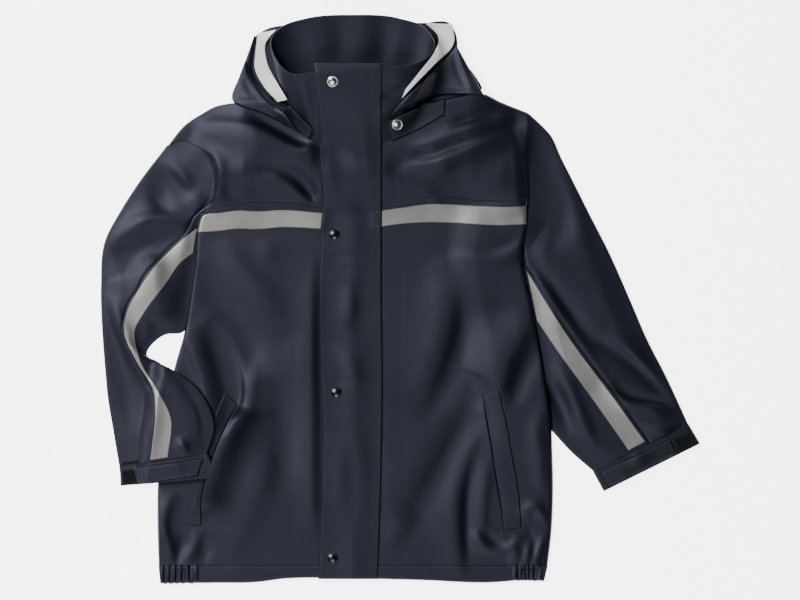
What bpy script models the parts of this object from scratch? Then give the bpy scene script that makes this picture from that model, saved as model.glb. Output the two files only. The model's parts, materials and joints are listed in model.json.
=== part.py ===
"""Child's hooded raincoat laid out flat on a table, zipped up, its hood folded behind the collar.

The right sleeve is bent so that the cuff lies in the pocket mouth, and the left sleeve runs
straight out, its inner edge under the body.  X runs across the coat (the wearer's left is +X),
+Y runs from the hem to the collar, and +Z rises from the table.  Plan tables are in millimetres.
"""
import bmesh
import bpy
import numpy as np
from mathutils import Vector
from mathutils.bvhtree import BVHTree

for old in list(bpy.data.objects):
    bpy.data.objects.remove(old, do_unlink=True)

MM = 0.001
CLOTH = 1.2            # coated knit, as a wall
DOUBLED = 1.6          # turned and stitched edges: placket, welts, tabs
COLLAR_WALL = 2.0      # collar, cloth and lining together
TAPE = 1.0             # reflective tape
SEAM = 0.3             # air between two pieces that are sewn or snapped together
ARMHOLE_GAP = 1.2      # between the curved armhole and the sleeve's end
SLACK = 2.1            # air between the front and the back where the coat lies slack
SLEEVE_THICK = 5.2     # a sleeve from the table to its top, both walls and the slack
TUCKED_THICK = 3.4     # the left sleeve's edge where the body lies on it
HOOD_PAD = 9.0         # folded layers of the hood under the upper back
CENTRE_X = -53.0       # centre front, where the hidden zip is
HEM_SEAM_Y = -290.0    # stitch line of the elastic hem casing
DEEPEST = 1.0          # how far a trough may sink towards the back
EDGE_ROUND = 3.0       # radius of the folded edges at the coat's sides
LAID_GAP = 0.5         # air where an edge lies on the piece below
ARM_SLACK = 2.4        # air between the bent right sleeve and the front under it
WELT = 0.9             # pocket welt, on the front
WELT_GAP = 1.0         # air between the welt and the front's folds
POCKET_LIP_RIGHT = 9.0  # how far the right pocket's edge stands over the tucked cuff
POCKET_LIP_LEFT = 2.0
HOOD_BOW = 3.0         # rise of the folded hood between its edges
HOOD_FOLD_Y = 98.0     # where the folded hood tapers out under the back

# Plan outlines: rows of (x, y), each from the collar end to the hem end or from right to left.
ARMHOLE_RIGHT = [(-254, 166), (-240, 172.5), (-217, 163), (-203, 153), (-196.5, 138),
                 (-199, 122), (-204, 102), (-217, 90)]
SIDE_RIGHT = [(-217, 90), (-221, 72), (-223, 43), (-229, -1), (-235, -36), (-246, -76),
              (-259, -143), (-264, -203), (-264.5, -245), (-263, -290)]
ARMHOLE_LEFT = [(139, 203), (140, 190), (137.5, 172), (136, 145), (138, 125), (138, 106)]
SIDE_LEFT = [(138, 106), (138, 81), (133, 46), (137, 21), (142, -1), (145, -17), (153, -56),
             (158, -88), (164, -126), (166, -165), (167, -200), (165, -256), (161, -290)]
SHOULDER_RIGHT = [(-254, 166), (-234, 190), (-216, 202), (-201, 210), (-185, 213), (-155, 213),
                  (-124, 208)]
SHOULDER_LEFT = [(18, 208), (45, 217), (72, 222), (92, 223), (109, 215), (124, 209), (139, 203)]
NECK_RIGHT = [(-124, 208), (-116, 192), (-104, 179), (-82, 168.5), (-53, 165)]
NECK_LEFT = [(-53, 165), (-24, 168.5), (-2, 179), (10, 192), (18, 208)]
NECK_BACK = [(-124, 208), (-110, 216), (-85, 221), (-53, 222), (-21, 221), (4, 216), (18, 208)]
YOKE_SEAM_RIGHT = [(-217, 90), (-199, 98), (-170, 104), (-135, 105), (-111, 104), (-86, 99),
                   (-53, 100)]
YOKE_SEAM_LEFT = [(-53, 100), (-20, 102), (17, 109), (53, 111), (89, 107), (138, 106)]
POCKET_MOUTH_RIGHT = [(-176, -115), (-186, -133), (-197, -156), (-206, -180), (-211, -197),
                      (-215, -216), (-215.5, -247)]
POCKET_MOUTH_LEFT = [(89, -105), (96, -146), (104, -195), (110, -230), (112.5, -252)]
HEM_RIGHT = [(-261, -310.3), (-240, -310), (-202, -309.5), (-153, -308.5), (-131, -305.5),
             (-53, -304.5)]
HEM_LEFT = [(-53, -304.5), (22, -306.5), (102, -309), (130, -307), (157, -307.5)]

# Sleeve sections, one row each from the armhole to the cuff seam:
# outer edge x, y, inner edge x, y
SLEEVE_RIGHT = [
    (-254, 166, -220.5, 88),
    (-283, 129, -225.5, 62),
    (-304, 97, -227.5, 30),
    (-322, 62, -233, -8),
    (-326, 15, -243, -37),
    (-325, -28, -258, -40),
    (-323, -58, -276, -60),
    (-321, -82, -247, -77),
    (-319, -104, -219, -98),
    (-313, -141, -201, -140),
    (-306, -182, -209, -168),
]
SLEEVE_LEFT = [
    (139, 203, 135, 44),
    (151, 192, 133.5, 21),
    (164, 178, 129.5, 0),
    (175, 154, 124, -20),
    (188, 128, 117.5, -42),
    (207, 90, 114, -64),
    (225, 55, 119, -88),
    (250, -1, 139, -115),
    (269, -45, 165, -142),
    (289, -84, 187, -166),
    (313, -136, 211, -187),
]

# Largest folds of each piece, one row each: from x, y to x, y, width, height (a trough is below 0)
FRONT_FOLDS = [
    (-95, -30, -85, -225, 13, 4.0),
    (-213, -258, -232, -290, 9, 3.0),
    (-240, -190, -248, -285, 9, 3.0),
    (-150, 60, -200, -30, 22, 2.6),
    (-130, -70, -150, -200, 24, 2.4),
    (47, 10, 40, -90, 24, 3.6),
    (86, -110, -14, -285, 17, 2.6),
    (68, -205, 70, -310, 13, 3.4),
    (86, -262, 126, -262, 8, 2.6),
    (138, -236, 158, -250, 8, 2.0),
    (120, 80, 60, -20, 20, 2.6),
    (0, 60, 60, 20, 20, 2.0),
]
YOKE_FOLDS = [
    (-218, 188, -170, 184, 9, 3.0),
    (-170, 184, -95, 160, 9, 3.6),
    (-222, 175, -150, 150, 10, -1.2),
    (-150, 150, -112, 132, 10, -1.2),
    (-160, 118, -100, 116, 9, 2.0),
    (-12, 132, 118, 196, 12, 3.6),
    (10, 118, 110, 150, 11, 2.4),
    (118, 180, 122, 120, 9, 2.6),
]
SLEEVE_RIGHT_FOLDS = [
    (-232, 150, -285, 90, 14, 3.2),
    (-215, 110, -250, 40, 10, 2.8),
    (-318, 58, -262, 28, 9, 3.0),
    (-322, -10, -262, -30, 10, 2.6),
    (-316, -62, -255, -92, 11, 3.4),
    (-300, -90, -292, -168, 12, 2.6),
    (-235, -105, -222, -150, 9, 2.4),
]
SLEEVE_LEFT_FOLDS = [
    (152, 178, 150, 60, 7, -1.6),
    (170, 150, 196, 60, 15, 3.4),
    (182, 40, 250, -62, 12, 2.8),
    (214, -85, 300, -112, 9, 2.6),
    (190, -35, 280, -94, 9, 2.2),
    (160, -70, 186, -148, 10, -1.4),
]

# Collar stations all round from centre front by the right: base x, y, z and rim x, y, z
COLLAR = [
    (-53.4, 165.5, 13.8, -53.4, 249, 42),
    (-82, 169.2, 13.8, -90, 245, 41),
    (-103, 180, 13.9, -119, 244, 38),
    (-113.6, 192.4, 14, -135, 262, 33),
    (-120.4, 207, 14.6, -140, 280, 29),
    (-109, 217.5, 13.5, -130, 293, 26),
    (-85, 223, 12.2, -100, 304, 25),
    (-53, 224, 12, -54, 307.5, 25),
    (-21, 223, 12.2, -2, 304, 25),
    (3, 217.5, 13.5, 27, 293, 26),
    (14.4, 207, 14.6, 37, 278, 30),
    (7.6, 192.4, 14, 25, 258, 38),
    (-3, 180, 13.9, 5, 252, 41),
    (-24, 169.2, 13.8, -20, 251, 42),
    (-52.6, 165.5, 13.8, -52.6, 249, 42),
]
COLLAR_BELLY = 2.0

# Tops of the elastic hem's gathers and the troughs between them: x, height
GATHERS_RIGHT = [(-259, 1.4), (-255.6, -0.7), (-252.6, 1.6), (-249.3, -0.6), (-245.8, 1.5),
                 (-243, -0.7), (-239.5, 1.7), (-236, -0.5), (-232, 1.2), (-226.7, -0.4)]
GATHERS_LEFT = [(126, 0.9), (129.4, -0.6), (131.2, 1.2), (133, -0.7), (135, 1.3), (136.7, -0.6),
                (139, 1.6), (141.5, -0.7), (143.8, 1.3), (146, -0.6), (151, 1.2)]

# Edges that lie on other pieces, in pairs of rows: x, y
PLACKET_RIGHT = [(-93, 255), (-89, 215), (-87, 173), (-84.5, 108), (-87, 21), (-86, -56), (-83, -143),
                 (-85, -219), (-89, -305)]
PLACKET_LEFT = [(-19.5, 254.5), (-20, 215), (-20, 173), (-20, 108), (-20, -1), (-19, -88), (-20, -165),
                (-22, -240), (-24.5, -305)]
SLEEVE_TAPE_RIGHT = [(-221, 77), (-244, 59), (-284, 11), (-297, -14), (-300, -36), (-286, -69),
                     (-268, -100), (-266, -125), (-271, -175)]
SLEEVE_TAPE_RIGHT_LOW = [(-225, 50), (-238, 40), (-255, 16), (-278, -15), (-288, -33), (-283, -66),
                         (-262, -102), (-249, -128), (-252, -172)]
SLEEVE_TAPE_LEFT = [(138, 31), (186, -45), (230, -104), (267, -155)]
SLEEVE_TAPE_LEFT_LOW = [(149.5, -24), (164, -46), (206, -104), (249, -165)]
TAPE_SHIFT = 6.0       # the sleeve seam runs this far above the tape
WELT_RIGHT = [(-191, -101), (-207, -143), (-220, -197), (-232, -245)]
WELT_LEFT = [(107, -99), (117, -140), (121, -163), (130, -217), (132, -249)]

CUFF_RIGHT = [(-306, -182.6, -208, -168.6), (-305, -192, -204, -180), (-304.5, -203.5, -206, -195)]
CUFF_LEFT = [(313.3, -136.6, 211.3, -187.6), (319.5, -147, 217, -198), (326, -158, 223, -209)]
TAB_RIGHT = [[(-288, -184), (-251, -178.5), (-214, -173)], [(-285, -202), (-256, -197.5), (-220, -192)]]
TAB_LEFT = [[(220, -188), (256, -171), (294, -152.5)], [(228.5, -204), (264, -186.5), (301.5, -168)]]
PATCH_RIGHT = [[(-303.5, -187), (-290, -185.5)], [(-302, -201.5), (-287, -201.5)]]
PATCH_LEFT = [[(296, -153), (314, -145)], [(303.5, -167), (321, -158)]]

# Hood: the folded pad's outline, then what shows of the hood beside the collar
HOOD_OUTLINE = [(-182, 219), (-175, 242), (-166, 266), (-158, 286), (-150, 292), (-100, 299),
                (-52, 301), (25, 301), (55, 300), (61, 290), (65, 266), (83, 242), (90, 227),
                (78, 222), (68, 208), (62, 180), (56, 145), (36, 120), (0, 111), (-53, 109),
                (-106, 111), (-132, 122), (-143, 150), (-147, 185), (-148, 205), (-153, 217)]
HOOD_MIDDLE = (-53, 215)
HOOD_LAYERS = 3
HOOD_SIDE_RIGHT = [[(-157.5, 287), (-160, 270), (-162, 252), (-152, 231), (-138, 214), (-124, 199.5)],
                   [(-159, 286), (-166, 266), (-175, 242), (-183, 218), (-146, 200), (-110, 181)]]
HOOD_SIDE_LEFT = [[(-10, 200), (2, 215), (20, 231), (39, 250), (61, 277)],
                  [(-7, 199), (10, 210), (35, 221), (62, 225), (92, 223.5)]]
TRIM_RIGHT = [[(-134, 292), (-146, 278), (-144.5, 258), (-134, 236), (-122, 216)],
              [(-155, 289), (-157, 270), (-158, 252), (-148, 231), (-133, 214)]]
TRIM_LEFT = [[(28, 300), (42, 284), (38, 269), (23, 248), (6, 227)],
             [(57, 299), (59, 280), (37, 254), (18, 234), (2, 217)]]
NECKBAND_RIGHT = [[(-119, 210), (-106, 196), (-95, 185)], [(-130, 203), (-113, 185), (-99, 173)]]
NECKBAND_LEFT = [[(-12, 194), (18, 207), (49, 217.5)], [(-9, 171), (20, 184), (48, 200)]]

# Snap caps: name, x, y, whether the cap is bare metal
SNAPS = [("snap_collar", -73, 235, True), ("snap_chest", -71, 70, False), ("snap_waist", -69, -102, False),
         ("snap_hem", -73, -282, False), ("snap_hood", -3, 189, True)]
SNAP_RADIUS = 6.0
SNAP_HEIGHT = 2.0

NAVY = (0.028, 0.033, 0.055)
REFLECTIVE = (0.34, 0.33, 0.31)
WHITE_CLOTH = (0.72, 0.72, 0.71)
FUZZY_BLACK = (0.012, 0.013, 0.018)
SNAP_METAL = (0.30, 0.30, 0.31)
SNAP_NAVY = (0.03, 0.034, 0.05)


def ease(t):
    """Go from 0 to 1 with a level start and end."""
    t = np.clip(t, 0.0, 1.0)
    return t * t * (3.0 - 2.0 * t)


def smooth_path(points, fractions):
    """Read points at fractions of the length of a smooth curve through a short table."""
    table = np.array(points, float)
    knots = np.concatenate(([0.0], np.cumsum(np.linalg.norm(np.diff(table, axis=0), axis=1))))
    slopes = np.gradient(table, knots, axis=0)
    fine = np.linspace(0.0, knots[-1], 12 * len(table))
    span = np.clip(np.searchsorted(knots, fine, side="right") - 1, 0, len(knots) - 2)
    step = (knots[span + 1] - knots[span])[:, None]
    t = ((fine - knots[span])[:, None]) / step
    curve = ((2 * t ** 3 - 3 * t ** 2 + 1) * table[span] + (t ** 3 - 2 * t ** 2 + t) * step * slopes[span]
             + (3 * t ** 2 - 2 * t ** 3) * table[span + 1] + (t ** 3 - t ** 2) * step * slopes[span + 1])
    length = np.concatenate(([0.0], np.cumsum(np.linalg.norm(np.diff(curve, axis=0), axis=1))))
    at = np.asarray(fractions, float) * length[-1]
    return np.stack([np.interp(at, length, curve[:, axis]) for axis in range(table.shape[1])], axis=1)


def patch(top, bottom, left, right, rows, columns):
    """Fill a plan outline of four curves with a grid, rows from the top and columns from the left."""
    top, bottom = smooth_path(top, columns), smooth_path(bottom, columns)
    left, right = smooth_path(left, rows), smooth_path(right, rows)
    t = np.asarray(rows, float)[:, None, None]
    s = np.asarray(columns, float)[None, :, None]
    corners = ((1 - s) * (1 - t) * top[0] + s * (1 - t) * top[-1]
               + (1 - s) * t * bottom[0] + s * t * bottom[-1])
    return ((1 - t) * top[None] + t * bottom[None] + (1 - s) * left[:, None] + s * right[:, None]
            - corners)


def fold_height(x, y, folds):
    """Add up soft ridges and troughs, each along a line and fading out past its ends."""
    total = np.zeros(np.broadcast(x, y).shape)
    for x0, y0, x1, y1, width, height in folds:
        run = np.array([x1 - x0, y1 - y0], float)
        along = np.clip(((x - x0) * run[0] + (y - y0) * run[1]) / (run @ run), 0.0, 1.0)
        away = (x - x0 - along * run[0]) ** 2 + (y - y0 - along * run[1]) ** 2
        total = total + height * np.exp(-away / width ** 2)
    return total


def left_side_x(y):
    """Where the left side of the body lies at a height on the plan."""
    table = np.array(SIDE_LEFT[::-1], float)
    return np.interp(y, table[:, 1], table[:, 0])


def back_lift(x, y):
    """Lower face of the back: the hood lifts its top and the left sleeve lifts its left edge."""
    hood = HOOD_PAD * ease((y - 94) / 52) * ease((x + 204) / 50) * ease((130 - x) / 56)
    inside = left_side_x(y) - x
    sleeve = TUCKED_THICK * ease((86 - inside) / 38) * ease((120 - y) / 42) * ease((y + 190) / 42)
    lift = np.maximum(hood, sleeve)
    return lift + SEAM * ease(lift / 2)


def back_top(x, y):
    return back_lift(x, y) + CLOTH


def body_top(x, y):
    """Upper face of the front and the yokes, with their folds, level under the placket."""
    beside_placket = ease((np.abs(x - CENTRE_X + 1.5) - 36) / 30)
    folds = fold_height(x, y, FRONT_FOLDS) + fold_height(x, y, YOKE_FOLDS)
    return back_top(x, y) + SEAM + SLACK + CLOTH + np.maximum(folds, -DEEPEST) * beside_placket


def grid_normals(points):
    """Unit normals of a grid of points, looking up."""
    across = np.gradient(points, axis=1)
    down = np.gradient(points, axis=0)
    normal = np.cross(down, across)
    return normal / np.linalg.norm(normal, axis=2, keepdims=True)


def grid_faces(rows, columns, first=0, closed=False):
    """Quads of a grid that looks up, or of a tube if its columns close."""
    faces = []
    for i in range(rows - 1):
        for j in range(columns if closed else columns - 1):
            k = (j + 1) % columns
            faces.append([first + i * columns + j, first + (i + 1) * columns + j,
                          first + (i + 1) * columns + k, first + i * columns + k])
    return faces


def cloth_material(name, colour, roughness, metallic=0.0):
    material = bpy.data.materials.new(name)
    material.use_nodes = True
    shader = material.node_tree.nodes["Principled BSDF"]
    shader.inputs["Base Color"].default_value = (*colour, 1.0)
    shader.inputs["Roughness"].default_value = roughness
    shader.inputs["Metallic"].default_value = metallic
    return material


def wall_solid(name, outer, inner, faces, colour, roughness=0.45, metallic=0.0):
    """Close an outer and an inner skin, given in millimetres, into one solid wall."""
    count = len(outer)
    points = np.concatenate([outer, inner]) * MM
    quads = [list(face) for face in faces]
    quads += [[index + count for index in reversed(face)] for face in faces]
    edges = {(face[k], face[(k + 1) % len(face)]) for face in faces for k in range(len(face))}
    quads += [[b, a, a + count, b + count] for a, b in sorted(edges) if (b, a) not in edges]
    return closed_body(name, points, quads, colour, roughness, metallic)


def closed_body(name, points, faces, colour, roughness=0.45, metallic=0.0):
    """Make one closed mesh object from points in metres."""
    mesh = bpy.data.meshes.new(name)
    mesh.from_pydata([tuple(map(float, point)) for point in points], [], faces)
    body = bmesh.new()
    body.from_mesh(mesh)
    loose = [vertex for vertex in body.verts if not vertex.link_faces]
    bmesh.ops.delete(body, geom=loose, context="VERTS")
    bmesh.ops.recalc_face_normals(body, faces=body.faces)
    bmesh.ops.triangulate(body, faces=body.faces, quad_method="FIXED")
    body.to_mesh(mesh)
    body.free()
    mesh.shade_smooth()
    mesh.set_sharp_from_angle(angle=np.radians(50))
    mesh.materials.append(cloth_material(name, colour, roughness, metallic))
    thing = bpy.data.objects.new(name, mesh)
    bpy.context.scene.collection.objects.link(thing)
    return thing


def roll_edge(points, low, edge, share=None, radius=EDGE_ROUND):
    """Round a grid's edge column or row down to a lower height, as cloth rolls at a fold."""
    line = {"left": points[:, :1], "right": points[:, -1:], "top": points[:1], "bottom": points[-1:]}[edge]
    away = np.linalg.norm(points[..., :2] - line[..., :2], axis=2) / radius
    bow = np.sqrt(np.clip(1.0 - (1.0 - np.minimum(away, 1.0)) ** 2, 0.0, 1.0))
    rolled = low + (points[..., 2] - low) * bow
    if share is not None:
        rolled = points[..., 2] + (rolled - points[..., 2]) * share
    points[..., 2] = np.where(away < 1.0, rolled, points[..., 2])


def wall_grid(name, points, thickness, colour, rolled=None, roughness=0.45):
    """Make a wall below a grid of points; an edge ends in a level lip by its rolled share."""
    normal = grid_normals(points)
    places = {"left": (slice(None), 0), "right": (slice(None), -1), "top": (0, slice(None)),
              "bottom": (-1, slice(None))}
    for edge, share in (rolled or {}).items():
        normal[places[edge] + (2,)] *= 1.0 - share
    normal /= np.linalg.norm(normal, axis=2, keepdims=True)
    rows, columns = points.shape[:2]
    outer = points.reshape(-1, 3)
    inner = outer - thickness * normal.reshape(-1, 3)
    return wall_solid(name, outer, inner, grid_faces(rows, columns), colour, roughness)


def trim(points, edges=("left", "right", "top", "bottom"), amount=SEAM * 0.6):
    """Draw a grid's edges in, so that the pieces on both sides of a seam stay apart."""
    pulls = {"left": ((slice(None), 0), (slice(None), 1)), "right": ((slice(None), -1), (slice(None), -2)),
             "top": ((0, slice(None)), (1, slice(None))), "bottom": ((-1, slice(None)), (-2, slice(None)))}
    for edge in edges:
        at, beside = pulls[edge]
        inward = points[beside] - points[at]
        points[at] += amount * inward / np.linalg.norm(inward, axis=-1, keepdims=True)
    return points


def spread(count, close_start=(), close_end=()):
    """Even fractions from 0 to 1 with more of them close to either end."""
    inner = [f for f in np.linspace(0, 1, count)[1:-1]
             if f > 1.6 * max(close_start, default=0) and 1 - f > 1.6 * max(close_end, default=0)]
    return np.array([0.0, *close_start, *inner, *(1 - f for f in reversed(close_end)), 1.0])


def raised(plan, surface):
    """Give a plan grid its heights from a surface."""
    heights = surface(plan[..., 0], plan[..., 1])
    return np.concatenate([plan, heights[..., None]], axis=2)


def tree_of(*names):
    """Search tree over the named solids, for laying the next piece on them."""
    vertices, polygons = [], []
    for name in names:
        mesh = bpy.data.objects[name].data
        first = len(vertices)
        vertices += [vertex.co.copy() for vertex in mesh.vertices]
        mesh.calc_loop_triangles()
        polygons += [[first + index for index in part.vertices] for part in mesh.loop_triangles]
    return BVHTree.FromPolygons(vertices, polygons)


def lying_on(plan, tree, reach=4.0, table=0.0):
    """Height in millimetres of what lies below each plan point, the highest within a reach."""
    around = [(0, 0)] + [(reach * np.cos(turn), reach * np.sin(turn))
                         for turn in np.arange(8) * np.pi / 4]
    heights = np.full(plan.shape[:2], table)
    for place in np.ndindex(*plan.shape[:2]):
        for dx, dy in around:
            above = Vector(((plan[place][0] + dx) * MM, (plan[place][1] + dy) * MM, 0.2))
            hit = tree.ray_cast(above, Vector((0, 0, -1)))[0]
            if hit is not None:
                heights[place] = max(heights[place], hit.z / MM)
    return heights


def make_back():
    """Back: one piece from the shoulders and the neck to the hem casing."""
    top = SHOULDER_RIGHT + NECK_BACK[1:] + SHOULDER_LEFT[1:]
    left = ARMHOLE_RIGHT + SIDE_RIGHT[1:]
    right = ARMHOLE_LEFT + SIDE_LEFT[1:]
    bottom = [(-263, HEM_SEAM_Y), (-53, HEM_SEAM_Y), (161, HEM_SEAM_Y)]
    rows = np.concatenate([np.linspace(0, 0.22, 10), np.linspace(0.22, 1, 16)[1:]])
    columns = np.concatenate([np.linspace(0, 0.7, 10), np.linspace(0.7, 1, 9)[1:]])
    plan = trim(patch(top, bottom, left, right, rows, columns))
    points = raised(plan, back_top)
    outer = points.reshape(-1, 3)
    inner = outer - [0, 0, CLOTH]
    wall_solid("back", outer, inner, grid_faces(*points.shape[:2]), NAVY)


def shoulder_share(shoulder, neck):
    """Share of each column that lies on the shoulder, where a yoke's top edge is folded over."""
    shoulder_run = np.linalg.norm(np.diff(np.array(shoulder, float), axis=0), axis=1).sum()
    neck_run = np.linalg.norm(np.diff(np.array(neck, float), axis=0), axis=1).sum()
    return shoulder_run / (shoulder_run + neck_run)


def make_yoke(name, top, seam, armhole, centre, on_left, fold_share):
    """Front yoke between the shoulder, the neck, the armhole and the chest seam."""
    columns, rows = spread(13), spread(9, close_start=(0.012, 0.035))
    sides = (centre, armhole) if on_left else (armhole, centre)
    plan = trim(patch(top, seam, *sides, rows, columns))
    points = raised(plan, body_top)
    along = 1 - columns if on_left else columns
    share = 1 - ease((along - fold_share + 0.05) / 0.1)
    low = lying_on(plan[:1], tree_of("back"), 7.0) + LAID_GAP
    roll_edge(points, low, "top", share)
    wall_grid(name, points, CLOTH, NAVY, rolled={"top": share})


def make_front(name, seam, side, divide_top, mouth, divide_bottom, hem, on_left, lip):
    """Front from the chest seam to the hem casing, cut open along its pocket mouth.

    Two blocks share the line through the mouth; the middle one lifts at the mouth's edge.
    """
    divide = divide_top + mouth + divide_bottom
    runs = [np.linalg.norm(np.diff(np.array(part, float), axis=0), axis=1).sum()
            for part in (divide_top + mouth[:1], mouth, mouth[-1:] + divide_bottom)]
    first, last = runs[0] / sum(runs), (runs[0] + runs[1]) / sum(runs)
    above = np.concatenate([[0.0, 0.014, 0.040, 0.066], np.linspace(0.1, first, 9)])
    beside_mouth = np.linspace(first, last, 9)[1:]
    rows = np.concatenate([above, beside_mouth, np.linspace(last, 1.0, 5)[1:]])
    start, end = len(above) - 1, len(above) - 1 + len(beside_mouth)
    centre = [(CENTRE_X, seam[0][1] if on_left else seam[-1][1]), (CENTRE_X, HEM_SEAM_Y)]
    corner = divide[0]
    side_columns = spread(6, close_end=(0.012, 0.04)) if on_left else spread(6, close_start=(0.012, 0.04))
    hem_side, hem_middle = [divide[-1], hem], [divide[-1], (CENTRE_X, HEM_SEAM_Y)]
    if on_left:
        seam_side = [corner] + [p for p in seam if p[0] > corner[0] + 4]
        seam_middle = [p for p in seam if p[0] < corner[0] - 4] + [corner]
        side_plan = patch(seam_side, hem_side, divide, side, rows, side_columns)
        middle_plan = patch(seam_middle, hem_middle[::-1], centre, divide, rows, spread(12))
    else:
        seam_side = [p for p in seam if p[0] < corner[0] - 4] + [corner]
        seam_middle = [corner] + [p for p in seam if p[0] > corner[0] + 4]
        side_plan = patch(seam_side, hem_side[::-1], side, divide, rows, side_columns)
        middle_plan = patch(seam_middle, hem_middle, divide, centre, rows, spread(12))
    blocks = [middle_plan, side_plan] if on_left else [side_plan, middle_plan]
    cut = blocks[0].shape[1] - 1
    plan = trim(np.concatenate([blocks[0], blocks[1][:, 1:]], axis=1))
    low = raised(plan, body_top)
    edge = "right" if on_left else "left"
    edge_plan = plan[:, -1:] if on_left else plan[:, :1]
    roll_edge(low, lying_on(edge_plan, tree_of("back"), 9.0) + LAID_GAP, edge)
    high = low.copy()
    along = ease(np.interp(rows, [first, first + 0.03, last - 0.05, last], [0, 1, 1, 0]))[:, None]
    from_mouth = np.linalg.norm(low[..., :2] - low[:, cut:cut + 1, :2], axis=2)
    high[..., 2] += lip * along * np.exp(-(from_mouth / 24) ** 2)
    gap = SEAM / 2 * np.sign(along)
    normals = []
    for grid in (low, high):
        normal = grid_normals(grid)
        normal[:, -1 if on_left else 0, 2] = 0.0
        normals.append(normal / np.linalg.norm(normal, axis=2, keepdims=True))
    direction = 1 if on_left else -1
    middle, beside = high.copy(), low.copy()
    middle[:, cut, :2] -= direction * gap * np.array([1.0, 0.0])
    beside[:, cut, :2] += direction * gap * np.array([1.0, 0.0])
    left_grid, right_grid = (middle, beside) if on_left else (beside, middle)
    left_normal, right_normal = (normals[1], normals[0]) if on_left else (normals[0], normals[1])
    count, columns = low.shape[:2]
    outer = left_grid.reshape(-1, 3).copy()
    normal = left_normal.reshape(-1, 3).copy()
    index = np.arange(count * columns).reshape(count, columns)
    outer[index[:, cut + 1:]] = right_grid[:, cut + 1:]
    normal[index[:, cut + 1:]] = right_normal[:, cut + 1:]
    right_index = index.copy()
    for i in range(start + 1, end):
        right_index[i, cut] = len(outer)
        outer = np.vstack([outer, right_grid[i, cut]])
        normal = np.vstack([normal, right_normal[i, cut]])
    faces = []
    for i in range(count - 1):
        for j in range(columns - 1):
            at = index if j < cut else right_index
            faces.append([at[i, j], at[i + 1, j], at[i + 1, j + 1], at[i, j + 1]])
    faces = [[int(point) for point in face] for face in faces]
    wall_solid(name, outer, outer - CLOTH * normal, faces, NAVY)
    return low, high


DIVIDE_RIGHT_TOP = [(-157, 105), (-163, 40), (-169, -50)]
DIVIDE_RIGHT_BOTTOM = [(-212, -272), (-210, -290)]
DIVIDE_LEFT_TOP = [(80, 108), (80, 30), (83, -50)]
DIVIDE_LEFT_BOTTOM = [(112, -272), (111, -290)]

make_back()
make_yoke("yoke_right", SHOULDER_RIGHT + NECK_RIGHT[1:], YOKE_SEAM_RIGHT, ARMHOLE_RIGHT,
          [(CENTRE_X, 165), (CENTRE_X, 100)], False,
          shoulder_share(SHOULDER_RIGHT, NECK_RIGHT))
make_yoke("yoke_left", NECK_LEFT + SHOULDER_LEFT[1:], YOKE_SEAM_LEFT, ARMHOLE_LEFT,
          [(CENTRE_X, 165), (CENTRE_X, 100)], True,
          shoulder_share(SHOULDER_LEFT, NECK_LEFT))
FRONT_RIGHT = make_front("front_right", YOKE_SEAM_RIGHT, SIDE_RIGHT, DIVIDE_RIGHT_TOP,
                         POCKET_MOUTH_RIGHT, DIVIDE_RIGHT_BOTTOM, (-263, HEM_SEAM_Y), False,
                         POCKET_LIP_RIGHT)
FRONT_LEFT = make_front("front_left", YOKE_SEAM_LEFT, SIDE_LEFT, DIVIDE_LEFT_TOP,
                        POCKET_MOUTH_LEFT, DIVIDE_LEFT_BOTTOM, (161, HEM_SEAM_Y), True,
                        POCKET_LIP_LEFT)


def make_hem(name, seam_ends, hem, gathers):
    """Elastic casing below a front, its gathers as folds across the band."""
    start, end = sorted((seam_ends[0][0], seam_ends[1][0]))
    ridges = np.array(gathers)
    plain = np.linspace(start, end, 16)
    plain = plain[(plain < ridges[0, 0] - 4) | (plain > ridges[-1, 0] + 4)]
    stations = np.sort(np.unique(np.concatenate([[start, end], plain, ridges[:, 0]])))
    columns = (stations - start) / (end - start)
    left = [seam_ends[0], (hem[0][0], (seam_ends[0][1] + hem[0][1]) / 2), hem[0]]
    right = [seam_ends[1], (hem[-1][0], (seam_ends[1][1] + hem[-1][1]) / 2), hem[-1]]
    rows = np.array([0.0, 0.35, 0.7, 0.93, 1.0])
    plan = trim(patch(seam_ends, hem, left, right, rows, columns))
    points = raised(plan, body_top)
    wave = np.interp(stations, [ridges[0, 0] - 4, *ridges[:, 0], ridges[-1, 0] + 4],
                     [0.0, *ridges[:, 1], 0.0])
    points[..., 2] += wave[None] * np.array([0.3, 1.0, 1.0, 0.9, 0.5])[:, None]
    roll_edge(points, lying_on(plan[-1:], tree_of("hem_back")) + LAID_GAP, "bottom", radius=2.0)
    wall_grid(name, points, CLOTH, NAVY, rolled={"bottom": 1.0})


def make_back_hem():
    """Elastic casing below the back, flat where the coat rests."""
    seam = [(-263, HEM_SEAM_Y), (-53, HEM_SEAM_Y), (161, HEM_SEAM_Y)]
    hem = HEM_RIGHT + HEM_LEFT[1:]
    plan = trim(patch(seam, hem, [seam[0], hem[0]], [seam[-1], hem[-1]], spread(3), spread(22)))
    points = raised(plan, back_top)
    outer = points.reshape(-1, 3)
    wall_solid("hem_back", outer, outer - [0, 0, CLOTH], grid_faces(*points.shape[:2]), NAVY)


def right_side_x(y):
    """Where the right side of the body lies at a height on the plan."""
    table = np.array(SIDE_RIGHT[::-1], float)
    return np.interp(y, table[:, 1], table[:, 0])


def right_arm_base(x, y):
    """What the right sleeve lies on: the table, then the front and its pocket welt."""
    on_front = ease((x - right_side_x(y) + 27) / 18) * ease((-52 - y) / 14)
    return (body_top(x, y) + ARM_SLACK) * on_front


def on_table(x, y):
    return np.zeros(np.broadcast(x, y).shape)


def right_arm_thickness(x, y):
    return np.full(np.broadcast(x, y).shape, SLEEVE_THICK)


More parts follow.
